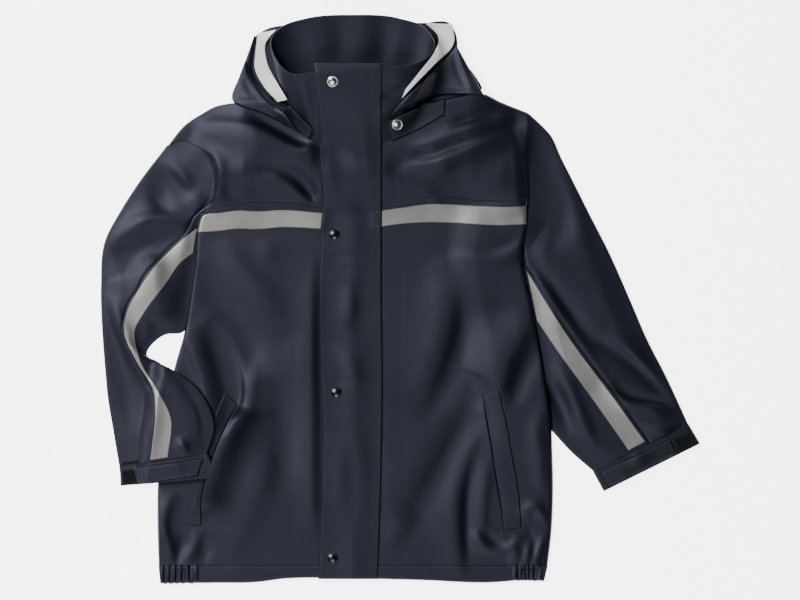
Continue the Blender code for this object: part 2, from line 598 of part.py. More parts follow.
def left_arm_thickness(x, y):
    """The left sleeve is thin where the body's side lies on it."""
    clear = np.maximum(ease((x - left_side_x(y) - 4) / 22), ease((-178 - y) / 10))
    return TUCKED_THICK + (SLEEVE_THICK - TUCKED_THICK) * clear


def section(outer_edge, inner_edge, fractions_up, fractions_down, wall, base, thickness, folds):
    """One closed section of a flattened tube, from its outer edge over the top and back below."""
    run = inner_edge - outer_edge
    width = np.linalg.norm(run)
    run = run / width
    start, width = outer_edge + wall * run, width - 2 * wall
    edge_thick = TUCKED_THICK - 2 * wall
    loop = []
    for fractions, upper in ((fractions_up, True), (fractions_down, False)):
        plan = start + width * np.asarray(fractions)[:, None] * run
        x, y = plan[:, 0], plan[:, 1]
        away = np.minimum(fractions, 1 - np.asarray(fractions)) * width
        bow = np.sqrt(np.clip(1 - (1 - np.minimum(away / (edge_thick / 2), 1)) ** 2, 0, 1))
        low = base(x, y) + wall
        if upper:
            full = thickness(x, y) - 2 * wall + np.maximum(fold_height(x, y, folds), -0.9)
            reach = edge_thick + (full - edge_thick) * ease(away / 22)
            z = low + edge_thick / 2 + (reach - edge_thick / 2) * bow
        else:
            z = low + edge_thick / 2 * (1 - bow)
        loop.append(np.column_stack([plan, z]))
    return np.concatenate(loop)


def tube_sections(table, rows, seam_share, base, thickness, folds, armhole=None, underarm=0.05):
    """Outer and inner skins of a flattened sleeve, with its two seams' column numbers."""
    table = np.array(table, float)
    edges = np.concatenate([smooth_path(table[:, :2], rows), smooth_path(table[:, 2:], rows)], axis=1)
    skins = []
    for wall in (0.0, CLOTH):
        loops = []
        for row, edge in enumerate(edges):
            outer_edge, inner_edge = edge[:2], edge[2:]
            width = np.linalg.norm(inner_edge - outer_edge)
            near = np.array([0.5, 1.7]) / width
            share = seam_share[row]
            up = np.concatenate([[0], near, np.linspace(0, share, 6)[1:-1], np.linspace(share, 1, 6)[:-1],
                                 1 - near[::-1], [1]])
            up = np.sort(up)
            down = np.concatenate([1 - near[:1], np.linspace(0.94, 0.06, 5), near[:1]])
            loops.append(section(outer_edge, inner_edge, up, down, wall, base, thickness, folds))
        skins.append(np.array(loops))
    if armhole is not None:
        for skin in skins:
            middle = (skin[0, 0, :2] + skin[0, len(up) - 1, :2]) / 2
            run = skin[0, len(up) - 1, :2] - skin[0, 0, :2]
            share = np.clip(((skin[0, :, :2] - skin[0, 0, :2]) @ run) / (run @ run), 0, 1)
            shift = smooth_path(armhole, share) - (skin[0, 0, :2] + share[:, None] * run)
            reach = 0.32 + (underarm - 0.32) * ease((share - 0.58) / 0.25)
            fade = np.clip(1 - np.asarray(rows)[:, None] / reach[None], 0, 1) ** 2
            skin[..., :2] += fade[..., None] * shift[None]
    return skins[0], skins[1], len(up)


SEAM_COLUMN = 7          # column of a sleeve section where the seam beside the tape runs
UNDER_SEAM_COLUMN = 3    # column of its lower side where the other seam runs


def seam_shares(table, rows, tape, shift):
    """Where the seam beside the tape crosses each section, as a share of its width."""
    table = np.array(table, float)
    outer = smooth_path(table[:, :2], rows)
    inner = smooth_path(table[:, 2:], rows)
    line = smooth_path(tape, np.linspace(0, 1, 120))
    shares = []
    for start, end in zip(outer, inner):
        run = end - start
        width = np.linalg.norm(run)
        across = (line - start) @ np.array([-run[1], run[0]]) / width
        nearest = line[np.argmin(np.abs(across))]
        shares.append(np.clip(((nearest - start) @ run / width - shift) / width, 0.12, 0.82))
    return np.array(shares)


def softened(heights):
    """Smooth a grid of heights upwards, so that a sheet of cloth bridges the steps below it."""
    rows, columns = heights.shape
    wide = np.pad(heights, 2, mode="edge")
    highest = np.max([wide[i:i + rows + 2, j:j + columns + 2] for i in range(3) for j in range(3)], axis=0)
    return np.mean([highest[i:i + rows, j:j + columns] for i in range(3) for j in range(3)], axis=0)


def clearance(plan, heights, tree, table):
    """Least height of a sheet above what is below it, read between its points too."""
    fine = np.concatenate([plan, heights[..., None]], axis=2)
    for _ in range(3):
        wide = np.repeat(fine, 2, axis=0)[:-1]
        wide[1::2] = (fine[:-1] + fine[1:]) / 2
        fine = np.swapaxes(wide, 0, 1)
    return np.min(fine[..., 2] - lying_on(fine[..., :2], tree, 0.5, table))


def set_off(path, amount):
    """A path moved sideways, to its right seen along the way from its first point."""
    line = smooth_path(path, np.linspace(0, 1, 25))
    run = np.gradient(line, axis=0)
    aside = np.column_stack([run[:, 1], -run[:, 0]]) / np.linalg.norm(run, axis=1, keepdims=True)
    return line + amount * aside


def make_sleeve(side, table, tape, shift, base, thickness, folds, armhole, underarm):
    """Sleeve cut in an outer and an inner piece, seamed beside the tape and underneath."""
    rows = np.concatenate([[0.0, 0.03], np.linspace(0.08, 0.97, 15), [1.0]])
    shares = seam_shares(table, rows, tape, shift)
    shares = np.convolve(np.pad(shares, 2, mode="edge"), np.ones(5) / 5, mode="valid")
    outer, inner, up = tube_sections(table, rows, shares, base, thickness, folds, armhole, underarm)
    split = SEAM_COLUMN
    below = up + UNDER_SEAM_COLUMN
    ring = outer.shape[1]
    for name, order in ((f"sleeve_{side}_outer", [*range(below, ring), *range(split + 1)]),
                        (f"sleeve_{side}_inner", [*range(split, below + 1)])):
        skins = [trim(skin[:, order].copy(), amount=SEAM * 0.6) for skin in (outer, inner)]
        count = skins[0].shape[:2]
        wall_solid(name, skins[0].reshape(-1, 3), skins[1].reshape(-1, 3), grid_faces(*count), NAVY)


def make_cuff(name, table, base):
    """Cuff: a short closed band sewn to the sleeve's end."""
    def level(x, y):
        return np.full(np.broadcast(x, y).shape, TUCKED_THICK + 1.0)
    rows = np.linspace(0, 1, 4)
    outer, inner, up = tube_sections(table, rows, np.full(4, 0.5), base, level, [])
    faces = grid_faces(*outer.shape[:2], closed=True)
    wall_solid(name, outer.reshape(-1, 3), inner.reshape(-1, 3), faces, NAVY)


def lay(name, edges, rows, columns, under, thickness, colour, reach=4.0, roughness=0.45, table=0.0,
        bow=0.0, rising=False, proud=0.0, soft=False):
    """Lay a strip between two edges on what is under it; bow lifts its middle.

    A rising strip climbs the collar without dipping and stands a little proud of its rim, and a
    soft one bridges the steps of what is below it.
    """
    first, second = (smooth_path(edge, np.linspace(0, 1, rows)) for edge in edges)
    s = np.linspace(0, 1, columns)[None, :, None]
    plan = first[:, None] * (1 - s) + second[:, None] * s
    heights = lying_on(plan, tree_of(*under), reach, table) + SEAM + proud
    if soft:
        heights = softened(softened(heights))
    if rising:
        above = plan[..., 1] > 160
        heights = np.where(above, np.maximum.accumulate(heights[::-1])[::-1], heights)
        heights[0] += 2.0
    heights += bow * 4 * s[..., 0] * (1 - s[..., 0])
    if soft:
        heights -= clearance(plan, heights, tree_of(*under), table) - LAID_GAP
    low = np.concatenate([plan, heights[..., None]], axis=2)
    normal = grid_normals(low)
    normal *= np.sign(normal[..., 2:])
    outer = (low + thickness * normal).reshape(-1, 3)
    return wall_solid(name, outer, low.reshape(-1, 3), grid_faces(rows, columns), colour, roughness)


def make_collar():
    """Stand collar: a ring that leans back, open at centre front where the zip is."""
    table = np.array(COLLAR, float)
    around = np.linspace(0, 1, 35)
    base, rim = smooth_path(table[:, :3], around), smooth_path(table[:, 3:], around)
    v = np.linspace(0, 1, 5)[:, None, None]
    points = rim[None] * v[::-1] + base[None] * (1 - v[::-1])
    normal = grid_normals(points)
    centre = np.mean(points, axis=1, keepdims=True)
    normal *= np.sign(np.sum(normal * (points - centre), axis=2, keepdims=True))
    points = points + COLLAR_BELLY * np.sin(np.pi * v) * normal
    outer = points.reshape(-1, 3)
    inner = (points - COLLAR_WALL * normal).reshape(-1, 3)
    wall_solid("collar", outer, inner, grid_faces(*points.shape[:2]), NAVY)


def hood_share(y):
    """How much of the folded hood's thickness lies at a place: it tapers out under the back."""
    return ease((y - HOOD_FOLD_Y) / 52)


def make_hood_pad():
    """Folded layers of the hood under the upper back, as one flat-bottomed rounded pad."""
    outline = smooth_path(HOOD_OUTLINE + HOOD_OUTLINE[:1], np.linspace(0, 1, 41)[:-1])
    away = outline - np.array(HOOD_MIDDLE, float)
    outward = away / np.linalg.norm(away, axis=1, keepdims=True)
    layer = (HOOD_PAD - SEAM) / HOOD_LAYERS
    rings = []
    for level in range(HOOD_LAYERS):
        for z, inset in ((0.0 if level == 0 else 0.12, 2.0), (0.5, 0.6), (0.88, 2.0)):
            rings.append((outline - outward * inset, (level + z) * layer))
    top = rings[-1]
    rings += [(top[0] - away * share, top[1]) for share in (0.2, 0.4, 0.6, 0.8)]
    points, faces = [], []
    for loop, height in rings:
        points += [(x, y, height * hood_share(y)) for x, y in loop]
    count = len(outline)
    for ring in range(len(rings) - 1):
        for k in range(count):
            n = (k + 1) % count
            faces.append([ring * count + k, ring * count + n, (ring + 1) * count + n, (ring + 1) * count + k])
    faces.append(list(range(count)))
    faces.append(list(range((len(rings) - 1) * count, len(rings) * count)))
    closed_body("hood_folded", np.array(points) * MM, faces, NAVY)


def make_chest_tape(name, grid, on_left):
    """Reflective tape under the yoke seam, on the front's own points."""
    band = grid[1:4] if on_left else grid[1:4, ::-1]
    edge = PLACKET_LEFT if on_left else PLACKET_RIGHT
    limit = np.interp(78, np.array(edge[::-1])[:, 1], np.array(edge[::-1])[:, 0]) + (1 if on_left else -1)
    outside = (band[1, :, 0] > limit) if on_left else (band[1, :, 0] < limit)
    first = int(np.argmax(outside))
    share = ((limit - band[:, first - 1, 0]) / (band[:, first, 0] - band[:, first - 1, 0]))[:, None]
    start = band[:, first - 1] * (1 - share) + band[:, first] * share
    band = np.concatenate([start[:, None], band[:, first:-2]], axis=1)
    normal = grid_normals(band)
    normal *= np.sign(normal[..., 2:])
    low = band + normal * (SEAM + 0.4)
    wall_solid(name, (low + TAPE * normal).reshape(-1, 3), low.reshape(-1, 3), grid_faces(*band.shape[:2]),
               REFLECTIVE, 0.4)


def make_welt(name, mouth, edge):
    """Pocket welt beside the mouth, on the front."""
    rows = np.linspace(0.02, 0.98, 8)
    inner, outer = smooth_path(mouth, rows), smooth_path(edge, rows)
    side = np.sign(outer[:, :1] - inner[:, :1])
    inner[:, :1] += side * 0.8
    s = np.linspace(0, 1, 3)[None, :, None]
    plan = inner[:, None] * (1 - s) + outer[:, None] * s
    low = raised(plan, body_top) + [0, 0, WELT_GAP]
    up = np.array([0, 0, WELT])
    wall_solid(name, (low + up).reshape(-1, 3), low.reshape(-1, 3), grid_faces(8, 3), NAVY)


def make_snap(name, x, y, metal, under):
    """Snap cap: a low dome with a rolled rim, tilted with the cloth that it is riveted to."""
    turn = np.arange(16) * 2 * np.pi / 16
    ring = np.column_stack([np.cos(turn), np.sin(turn)])
    spots = np.array([x, y]) + SNAP_RADIUS * np.array([[1.0], [0.6], [0.0]])[..., None] * ring[None]
    heights = lying_on(spots, tree_of(*under), 1.5).ravel()
    away = spots.reshape(-1, 2) - [x, y]
    level = np.column_stack([away, np.ones(len(away))])
    slope_x, slope_y, seat = np.linalg.lstsq(level, heights, rcond=None)[0]
    seat += (heights - away @ [slope_x, slope_y] - seat).max() + SEAM
    profile = [(0.96, 0.0), (1.0, 0.4), (0.93, 0.8), (0.62, 0.92), (0.3, 0.99)]
    points, faces = [], []
    for radius, height in profile:
        for across, along in SNAP_RADIUS * radius * ring:
            points.append((x + across, y + along,
                           seat + slope_x * across + slope_y * along + SNAP_HEIGHT * height))
    for level in range(len(profile) - 1):
        for k in range(16):
            n = (k + 1) % 16
            faces.append([level * 16 + k, level * 16 + n, (level + 1) * 16 + n, (level + 1) * 16 + k])
    faces += [list(range(16)), list(range(16 * (len(profile) - 1), 16 * len(profile)))]
    closed_body(name, np.array(points) * MM, faces, SNAP_METAL if metal else SNAP_NAVY, 0.25,
                1.0 if metal else 0.0)


make_back_hem()
make_hem("hem_right", [(-263, HEM_SEAM_Y), (CENTRE_X, HEM_SEAM_Y)], HEM_RIGHT, GATHERS_RIGHT)
make_hem("hem_left", [(CENTRE_X, HEM_SEAM_Y), (161, HEM_SEAM_Y)], HEM_LEFT, GATHERS_LEFT)
make_chest_tape("chest_tape_right", FRONT_RIGHT[0], False)
make_chest_tape("chest_tape_left", FRONT_LEFT[0], True)
make_welt("pocket_welt_right", POCKET_MOUTH_RIGHT, WELT_RIGHT)
make_welt("pocket_welt_left", POCKET_MOUTH_LEFT, WELT_LEFT)
make_sleeve("right", SLEEVE_RIGHT, SLEEVE_TAPE_RIGHT, TAPE_SHIFT, right_arm_base, right_arm_thickness,
            SLEEVE_RIGHT_FOLDS, set_off([*ARMHOLE_RIGHT[:-1], (-221, 88)], ARMHOLE_GAP), 0.05)
make_sleeve("left", SLEEVE_LEFT, SLEEVE_TAPE_LEFT, TAPE_SHIFT, on_table, left_arm_thickness,
            SLEEVE_LEFT_FOLDS, set_off([*ARMHOLE_LEFT, (138, 81), (134, 44)], -ARMHOLE_GAP), 0.32)
make_cuff("cuff_right", CUFF_RIGHT, right_arm_base)
make_cuff("cuff_left", CUFF_LEFT, on_table)
make_collar()
make_hood_pad()

BODY = ("back", "front_right", "front_left", "yoke_right", "yoke_left", "hem_right", "hem_left",
        "chest_tape_right", "chest_tape_left")
lay("placket", (PLACKET_RIGHT, PLACKET_LEFT), 37, 5, (*BODY, "collar"), DOUBLED, NAVY, reach=7.0,
    rising=True)
lay("sleeve_tape_right", (SLEEVE_TAPE_RIGHT, SLEEVE_TAPE_RIGHT_LOW), 22, 3,
    ("sleeve_right_outer", "sleeve_right_inner"), TAPE, REFLECTIVE, reach=10.0, proud=0.5)
lay("sleeve_tape_left", (SLEEVE_TAPE_LEFT, SLEEVE_TAPE_LEFT_LOW), 14, 3,
    ("sleeve_left_outer", "sleeve_left_inner"), TAPE, REFLECTIVE, reach=6.0)
for side, tab, patch_edges in (("right", TAB_RIGHT, PATCH_RIGHT), ("left", TAB_LEFT, PATCH_LEFT)):
    cuff = (f"cuff_{side}", f"sleeve_{side}_outer", f"sleeve_{side}_inner")
    lay(f"cuff_tab_{side}", tab, 7, 3, cuff, DOUBLED, NAVY, reach=7.0)
    lay(f"cuff_hook_loop_{side}", patch_edges, 4, 3, cuff, DOUBLED, FUZZY_BLACK, reach=5.0, roughness=0.9)
lay("hood_neckband_right", NECKBAND_RIGHT, 6, 4, ("yoke_right", "collar", "back"), DOUBLED, NAVY)
lay("hood_neckband_left", NECKBAND_LEFT, 7, 4, ("yoke_left", "collar", "back", "placket"), DOUBLED, NAVY)
lay("hood_side_right", HOOD_SIDE_RIGHT, 9, 6, (*BODY, "collar", "hood_folded", "hood_neckband_right"),
    DOUBLED, NAVY, bow=HOOD_BOW, reach=6.0, soft=True)
lay("hood_side_left", HOOD_SIDE_LEFT, 9, 6,
    (*BODY, "collar", "hood_folded", "hood_neckband_left", "placket"), DOUBLED, NAVY, bow=HOOD_BOW, reach=6.0, soft=True)
lay("hood_trim_right", TRIM_RIGHT, 9, 3, (*BODY, "collar", "hood_folded", "hood_side_right",
                                          "hood_neckband_right"), CLOTH, WHITE_CLOTH, reach=6.0,
    roughness=0.6, soft=True)
lay("hood_trim_left", TRIM_LEFT, 9, 3, (*BODY, "collar", "hood_folded", "hood_side_left"), CLOTH,
    WHITE_CLOTH, reach=6.0, roughness=0.6, soft=True)
for snap, snap_x, snap_y, is_metal in SNAPS:
    make_snap(snap, snap_x, snap_y, is_metal, ("placket", "hood_neckband_left"))

# The frame's origin is the middle of the coat's footprint.
corners = np.array([vertex.co for piece in bpy.data.objects for vertex in piece.data.vertices])
middle_x, middle_y = (corners.min(axis=0) + corners.max(axis=0))[:2] / 2
for piece in bpy.data.objects:
    piece.location = (-middle_x, -middle_y, 0.0)
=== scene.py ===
"""A child's hooded raincoat of coated knit, laid out flat on a table with its snaps closed."""
import json

import bmesh
import bpy
import numpy as np
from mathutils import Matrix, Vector
from mathutils.bvhtree import BVHTree

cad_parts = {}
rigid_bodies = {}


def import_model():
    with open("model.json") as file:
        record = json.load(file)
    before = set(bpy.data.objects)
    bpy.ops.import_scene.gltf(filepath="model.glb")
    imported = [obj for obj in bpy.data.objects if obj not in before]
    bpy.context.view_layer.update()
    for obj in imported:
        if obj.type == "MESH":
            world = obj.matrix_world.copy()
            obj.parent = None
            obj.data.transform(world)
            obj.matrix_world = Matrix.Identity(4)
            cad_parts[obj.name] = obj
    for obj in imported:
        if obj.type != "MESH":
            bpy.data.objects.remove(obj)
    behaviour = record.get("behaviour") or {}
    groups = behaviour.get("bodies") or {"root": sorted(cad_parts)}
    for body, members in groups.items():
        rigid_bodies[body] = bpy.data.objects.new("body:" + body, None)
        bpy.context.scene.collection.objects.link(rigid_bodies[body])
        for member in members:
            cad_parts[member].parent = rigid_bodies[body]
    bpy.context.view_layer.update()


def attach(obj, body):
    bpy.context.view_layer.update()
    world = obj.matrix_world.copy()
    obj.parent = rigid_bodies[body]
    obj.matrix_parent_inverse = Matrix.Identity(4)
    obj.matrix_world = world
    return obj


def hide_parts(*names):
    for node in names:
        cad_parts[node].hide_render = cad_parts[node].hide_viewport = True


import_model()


# ---- Table, studio light and camera ----
# The coat lies on a wide pale light table, which glows softly. A large soft box hangs past the right
# shoulder and a smaller one past the hem, in a dim room; the camera looks straight down.
MM = 0.001
DOT = 1.09                 # one square of the pattern paper that the plan tables are drawn on, in mm
PAPER_WIDTH = 800          # squares of pattern paper across the camera's frame
FILM_WIDTH = 36.0
CAMERA_HEIGHT = 5.0
CAMERA_Y = 0.16 * MM


def placed(thing):
    """Put an object in the scene."""
    bpy.context.scene.collection.objects.link(thing)
    return thing


def soft_box(name, place, across, along, power):
    light = bpy.data.lights.new(name, "AREA")
    light.shape = "RECTANGLE"
    light.size, light.size_y, light.energy = across, along, power
    holder = placed(bpy.data.objects.new(name, light))
    holder.location = place
    holder.rotation_euler = (-Vector(place)).to_track_quat("-Z", "Y").to_euler()


def new_material(name, settings):
    """A node material with values set on its shader, its tree and the shader's inputs."""
    material = bpy.data.materials.new(name)
    material.use_nodes = True
    shader = material.node_tree.nodes["Principled BSDF"].inputs
    for label, value in settings.items():
        shader[label].default_value = value
    return material, material.node_tree, shader


def add_node(tree, kind, settings=None, **fields):
    """Add a node with its fields; an input is set to a value, or linked to a socket."""
    node = tree.nodes.new(kind)
    for field, value in fields.items():
        setattr(node, field, value)
    for label, value in (settings or {}).items():
        if isinstance(value, bpy.types.NodeSocket):
            tree.links.new(value, node.inputs[label])
        else:
            node.inputs[label].default_value = value
    return node


def on_object(tree):
    return add_node(tree, "ShaderNodeTexCoord").outputs["Object"]


def noise(tree, place, scale, detail=2.0):
    settings = {"Detail": detail, "Scale": scale, "Vector": place}
    return add_node(tree, "ShaderNodeTexNoise", settings).outputs["Fac"]


def blend_of(tree, share, dark, light, first=0.0, last=1.0):
    """A colour between two tones, by a share that runs from first to last."""
    ramp = add_node(tree, "ShaderNodeValToRGB", {"Fac": share})
    for stop, place, tone in zip(ramp.color_ramp.elements, (first, last), (dark, light)):
        stop.position, stop.color = place, (*tone, 1)
    return ramp.outputs["Color"]


def make_table_top():
    half = 6.0
    mesh = bpy.data.meshes.new("table_top")
    mesh.from_pydata([(-half, -half, 0), (half, -half, 0), (half, half, 0), (-half, half, 0)], [],
                     [(0, 1, 2, 3)])
    paper, tree, shader = new_material("pale_paper", {
        "Roughness": 0.85, "Emission Color": (1, 1, 1, 1), "Emission Strength": 4.5})
    grain = noise(tree, on_object(tree), 60.0)
    tone = blend_of(tree, grain, (0.92, 0.92, 0.92), (0.96, 0.96, 0.96))
    tree.links.new(tone, shader["Base Color"])
    mesh.materials.append(paper)
    return placed(bpy.data.objects.new("table_top", mesh))


make_table_top()
soft_box("side_box", (-1.8, 1.2, 2.6), 1.6, 1.6, 172.0)
soft_box("front_box", (-0.25, -1.2, 1.6), 1.0, 0.9, 18.0)
room = bpy.data.worlds.new("dim_room")
bpy.context.scene.world = room
room.use_nodes = True
backdrop = room.node_tree.nodes["Background"].inputs
backdrop["Color"].default_value = (0.96, 0.98, 1.0, 1.0)
backdrop["Strength"].default_value = 0.035
lens = bpy.data.cameras.new("overhead_camera")
lens.sensor_width = FILM_WIDTH
lens.lens = FILM_WIDTH * CAMERA_HEIGHT / (PAPER_WIDTH * DOT * MM)
lens.clip_end = 100.0
camera = placed(bpy.data.objects.new("overhead_camera", lens))
camera.location = (0.0, CAMERA_Y, CAMERA_HEIGHT)
bpy.context.scene.camera = camera


# ---- Back ----
# One piece of polyester knit with a soft polyurethane coating on its face, cut from the shoulders
# to the hem. It lies on the table, lifted a little by the folded hood and the tucked left sleeve.
CLOTH = 0.9                # coated knit with its soft hand, in mm, as all that follows
SEAM = 0.3                 # air between two pieces that are sewn or snapped together
WALL = 1.2                 # what the cloth and its air take up between two layers
SLACK = 3.1                # air that the front keeps over the back
TUCKED = 3.4               # a sleeve pressed flat under or beside the body
HOOD_PAD = 9.0             # the folded hood under the upper back
ON_TABLE = 0.02            # the least height above the table top
SHARP_EDGE = 60            # degrees between faces from which an edge shows as sharp
CENTRE_X = -53.0           # centre front, where the hidden zip is
HEM_SEAM_Y = -290.0
HEM_CENTRE = (CENTRE_X, HEM_SEAM_Y)
HEM_END_RIGHT, HEM_END_LEFT = (-263, HEM_SEAM_Y), (161, HEM_SEAM_Y)
MIDDLE_Y = 1.25            # the coat's footprint is centred on the frame's origin
ARMHOLE_RIGHT = [(-254, 166), (-240, 172.5), (-217, 163), (-203, 153), (-196.5, 138),
                 (-199, 122), (-204, 102), (-217, 90)]
SIDE_RIGHT = [(-217, 90), (-221, 72), (-223, 43), (-229, -1), (-235, -36), (-246, -76),
              (-259, -143), (-264, -203), (-264.5, -245), (-263, -290)]
ARMHOLE_LEFT = [(139, 203), (140, 190), (137.5, 172), (136, 145), (138, 125), (138, 106)]
SIDE_LEFT = [(138, 106), (138, 81), (133, 46), (137, 21), (142, -1), (145, -17), (153, -56),
             (158, -88), (164, -126), (166, -165), (167, -200), (165, -256), (161, -290)]
SHOULDER_RIGHT = [(-254, 166), (-234, 190), (-216, 202), (-201, 210), (-185, 213), (-155, 213),
                  (-124, 208)]
SHOULDER_LEFT = [(18, 208), (45, 217), (72, 222), (92, 223), (109, 215), (124, 209), (139, 203)]
NECK_BACK = [(-124, 208), (-110, 216), (-85, 221), (-53, 222), (-21, 221), (4, 216), (18, 208)]


def ease(t):
    t = np.clip(t, 0.0, 1.0)
    return t * t * (3.0 - 2.0 * t)


def rise(value, start, run):
    """A smooth rise from 0 at the start to 1 after the run; a run below 0 leads towards less."""
    return ease((value - start) / run)


def along(points, fractions):
    """Read a smooth curve through a short table at fractions of its length."""
    table = np.array(points, float)
    knots = np.concatenate(([0.0], np.cumsum(np.linalg.norm(np.diff(table, axis=0), axis=1))))
    slopes = np.gradient(table, knots, axis=0)
    fine = np.linspace(0.0, knots[-1], 16 * len(table))
    span = np.clip(np.searchsorted(knots, fine, side="right") - 1, 0, len(knots) - 2)
    step = (knots[span + 1] - knots[span])[:, None]
    t = (fine - knots[span])[:, None] / step
    curve = ((2 * t ** 3 - 3 * t ** 2 + 1) * table[span]
             + (t ** 3 - 2 * t ** 2 + t) * step * slopes[span]
             + (3 * t ** 2 - 2 * t ** 3) * table[span + 1]
             + (t ** 3 - t ** 2) * step * slopes[span + 1])
    length = np.concatenate(([0.0], np.cumsum(np.linalg.norm(np.diff(curve, axis=0), axis=1))))
    at = np.asarray(fractions, float) * length[-1]
    return np.stack([np.interp(at, length, column) for column in curve.T], axis=1)


def panel(top, bottom, left, right, rows, columns):
    """Cut a panel's plan between four edges: rows from the top, columns from the left."""
    top, bottom = along(top, columns), along(bottom, columns)
    left, right = along(left, rows), along(right, rows)
    t = np.asarray(rows, float)[:, None, None]
    s = np.asarray(columns, float)[None, :, None]
    corners = ((1 - s) * (1 - t) * top[0] + s * (1 - t) * top[-1]
               + (1 - s) * t * bottom[0] + s * t * bottom[-1])
    return ((1 - t) * top[None] + t * bottom[None] + (1 - s) * left[:, None] + s * right[:, None]
            - corners)


def side_x(side, y):
    """Where a side seam runs at a height on the plan."""
    table = np.array(side[::-1], float)
    return np.interp(y, table[:, 1], table[:, 0])


def back_top(x, y):
    """Height of the back's upper face in mm, over the folded hood and the tucked left sleeve."""
    hood = HOOD_PAD * rise(y, 94, 52) * rise(x, -204, 50) * rise(x, 130, -56)
    along_sleeve = rise(y, 120, -42) * rise(y, -190, 42)
    sleeve = TUCKED * ease((86 - side_x(SIDE_LEFT, y) + x) / 38) * along_sleeve
    lift = np.maximum(hood, sleeve)
    return lift + SEAM * ease(lift / 2) + WALL


def raised(plan, height):
    return np.concatenate([plan, height(plan[..., 0], plan[..., 1])[..., None]], axis=2)


def facing(points):
    """Unit normals of a grid of points, rows down and columns across, looking up."""
    normal = np.cross(np.gradient(points, axis=0), np.gradient(points, axis=1))
    return normal / np.linalg.norm(normal, axis=2, keepdims=True)


def quads(rows, columns):
    """Four-sided faces between the points of a grid."""
    index = np.arange(rows * columns).reshape(rows, columns)
    around = [index[:-1, :-1], index[1:, :-1], index[1:, 1:], index[:-1, 1:]]
    return np.stack(around, axis=-1).reshape(-1, 4)


def new_piece(name, points, faces, cloth_map, closed=False):
    """A piece from points and cloth map in mm, smooth but for its sharp edges.

    Closed is for one skin all round, whose faces are turned outward here.
    """
    points = points + [0.0, MIDDLE_Y, 0.0]
    mesh = bpy.data.meshes.new(name)
    faces = [[int(k) for k in face] for face in faces]
    mesh.from_pydata((points * MM).tolist(), [], faces)
    if closed:
        body = bmesh.new()
        body.from_mesh(mesh)
        bmesh.ops.recalc_face_normals(body, faces=body.faces)
        body.to_mesh(mesh)
        body.free()
    corners = np.empty(len(mesh.loops), int)
    mesh.loops.foreach_get("vertex_index", corners)
    mesh.uv_layers.new(name="cloth").data.foreach_set("uv", (cloth_map * MM)[corners].ravel())
    mesh.shade_smooth()
    mesh.set_sharp_from_angle(angle=np.radians(SHARP_EDGE))
    return placed(bpy.data.objects.new(name, mesh))


def cloth_piece(name, outer, faces, inner, cloth_map):
    """Join a face and a reverse, in mm, into one thin piece of cloth with its own cloth map."""
    count = len(outer)
    points = np.concatenate([outer, inner])
    points[:, 2] = np.maximum(points[:, 2], ON_TABLE)
    faces = [tuple(int(k) for k in face) for face in faces]
    around = {(face[k], face[(k + 1) % len(face)]) for face in faces for k in range(len(face))}
    reverse = [tuple(k + count for k in reversed(face)) for face in faces]
    edge = [(b, a, a + count, b + count) for a, b in sorted(around) if (b, a) not in around]
    return new_piece(name, points, faces + reverse + edge, np.concatenate([cloth_map, cloth_map]))


def grid_map(points):
    """Lengths along a grid's rows and columns, which is where the cloth lay before it was sewn."""
    across = np.linalg.norm(np.diff(points, axis=1), axis=2)
    down = np.linalg.norm(np.diff(points, axis=0), axis=2)
    across = np.concatenate([np.zeros((len(points), 1)), np.cumsum(across, axis=1)], axis=1)
    down = np.concatenate([np.zeros((1, points.shape[1])), np.cumsum(down, axis=0)], axis=0)
    return np.stack([across, down], axis=-1).reshape(-1, 2)


def cloth_from_grid(name, points, normal=None):
    """A piece of cloth from a grid of points on its face."""
    normal = facing(points) if normal is None else normal
    outer = points.reshape(-1, 3)
    return cloth_piece(name, outer, quads(*points.shape[:2]), outer - CLOTH * normal.reshape(-1, 3),
                       grid_map(points))


def new_effect(name, inputs, outputs):
    """Start a node group with named inputs, each with its value, and named outputs."""
    group = bpy.data.node_groups.new(name, "ShaderNodeTree")
    kinds = {float: "NodeSocketFloat", tuple: "NodeSocketColor"}
    for label, value in inputs.items():
        kind = kinds[type(value)]
        group.interface.new_socket(label, in_out="INPUT", socket_type=kind).default_value = value
    for label, kind in outputs.items():
        group.interface.new_socket(label, in_out="OUTPUT", socket_type=kind)
    return group, group.nodes.new("NodeGroupInput"), group.nodes.new("NodeGroupOutput")


def joined(tree, operation, first, second):
    """Two numbers or sockets through a Math node."""
    return add_node(tree, "ShaderNodeMath", {0: first, 1: second}, operation=operation).outputs[0]


def raise_grain(tree, shader, height, strength, distance):
    """Bump for what is too fine to model, its distance in metres."""
    bump = add_node(tree, "ShaderNodeBump",
                    {"Height": height, "Strength": strength, "Distance": distance})
    tree.links.new(bump.outputs["Normal"], shader["Normal"])


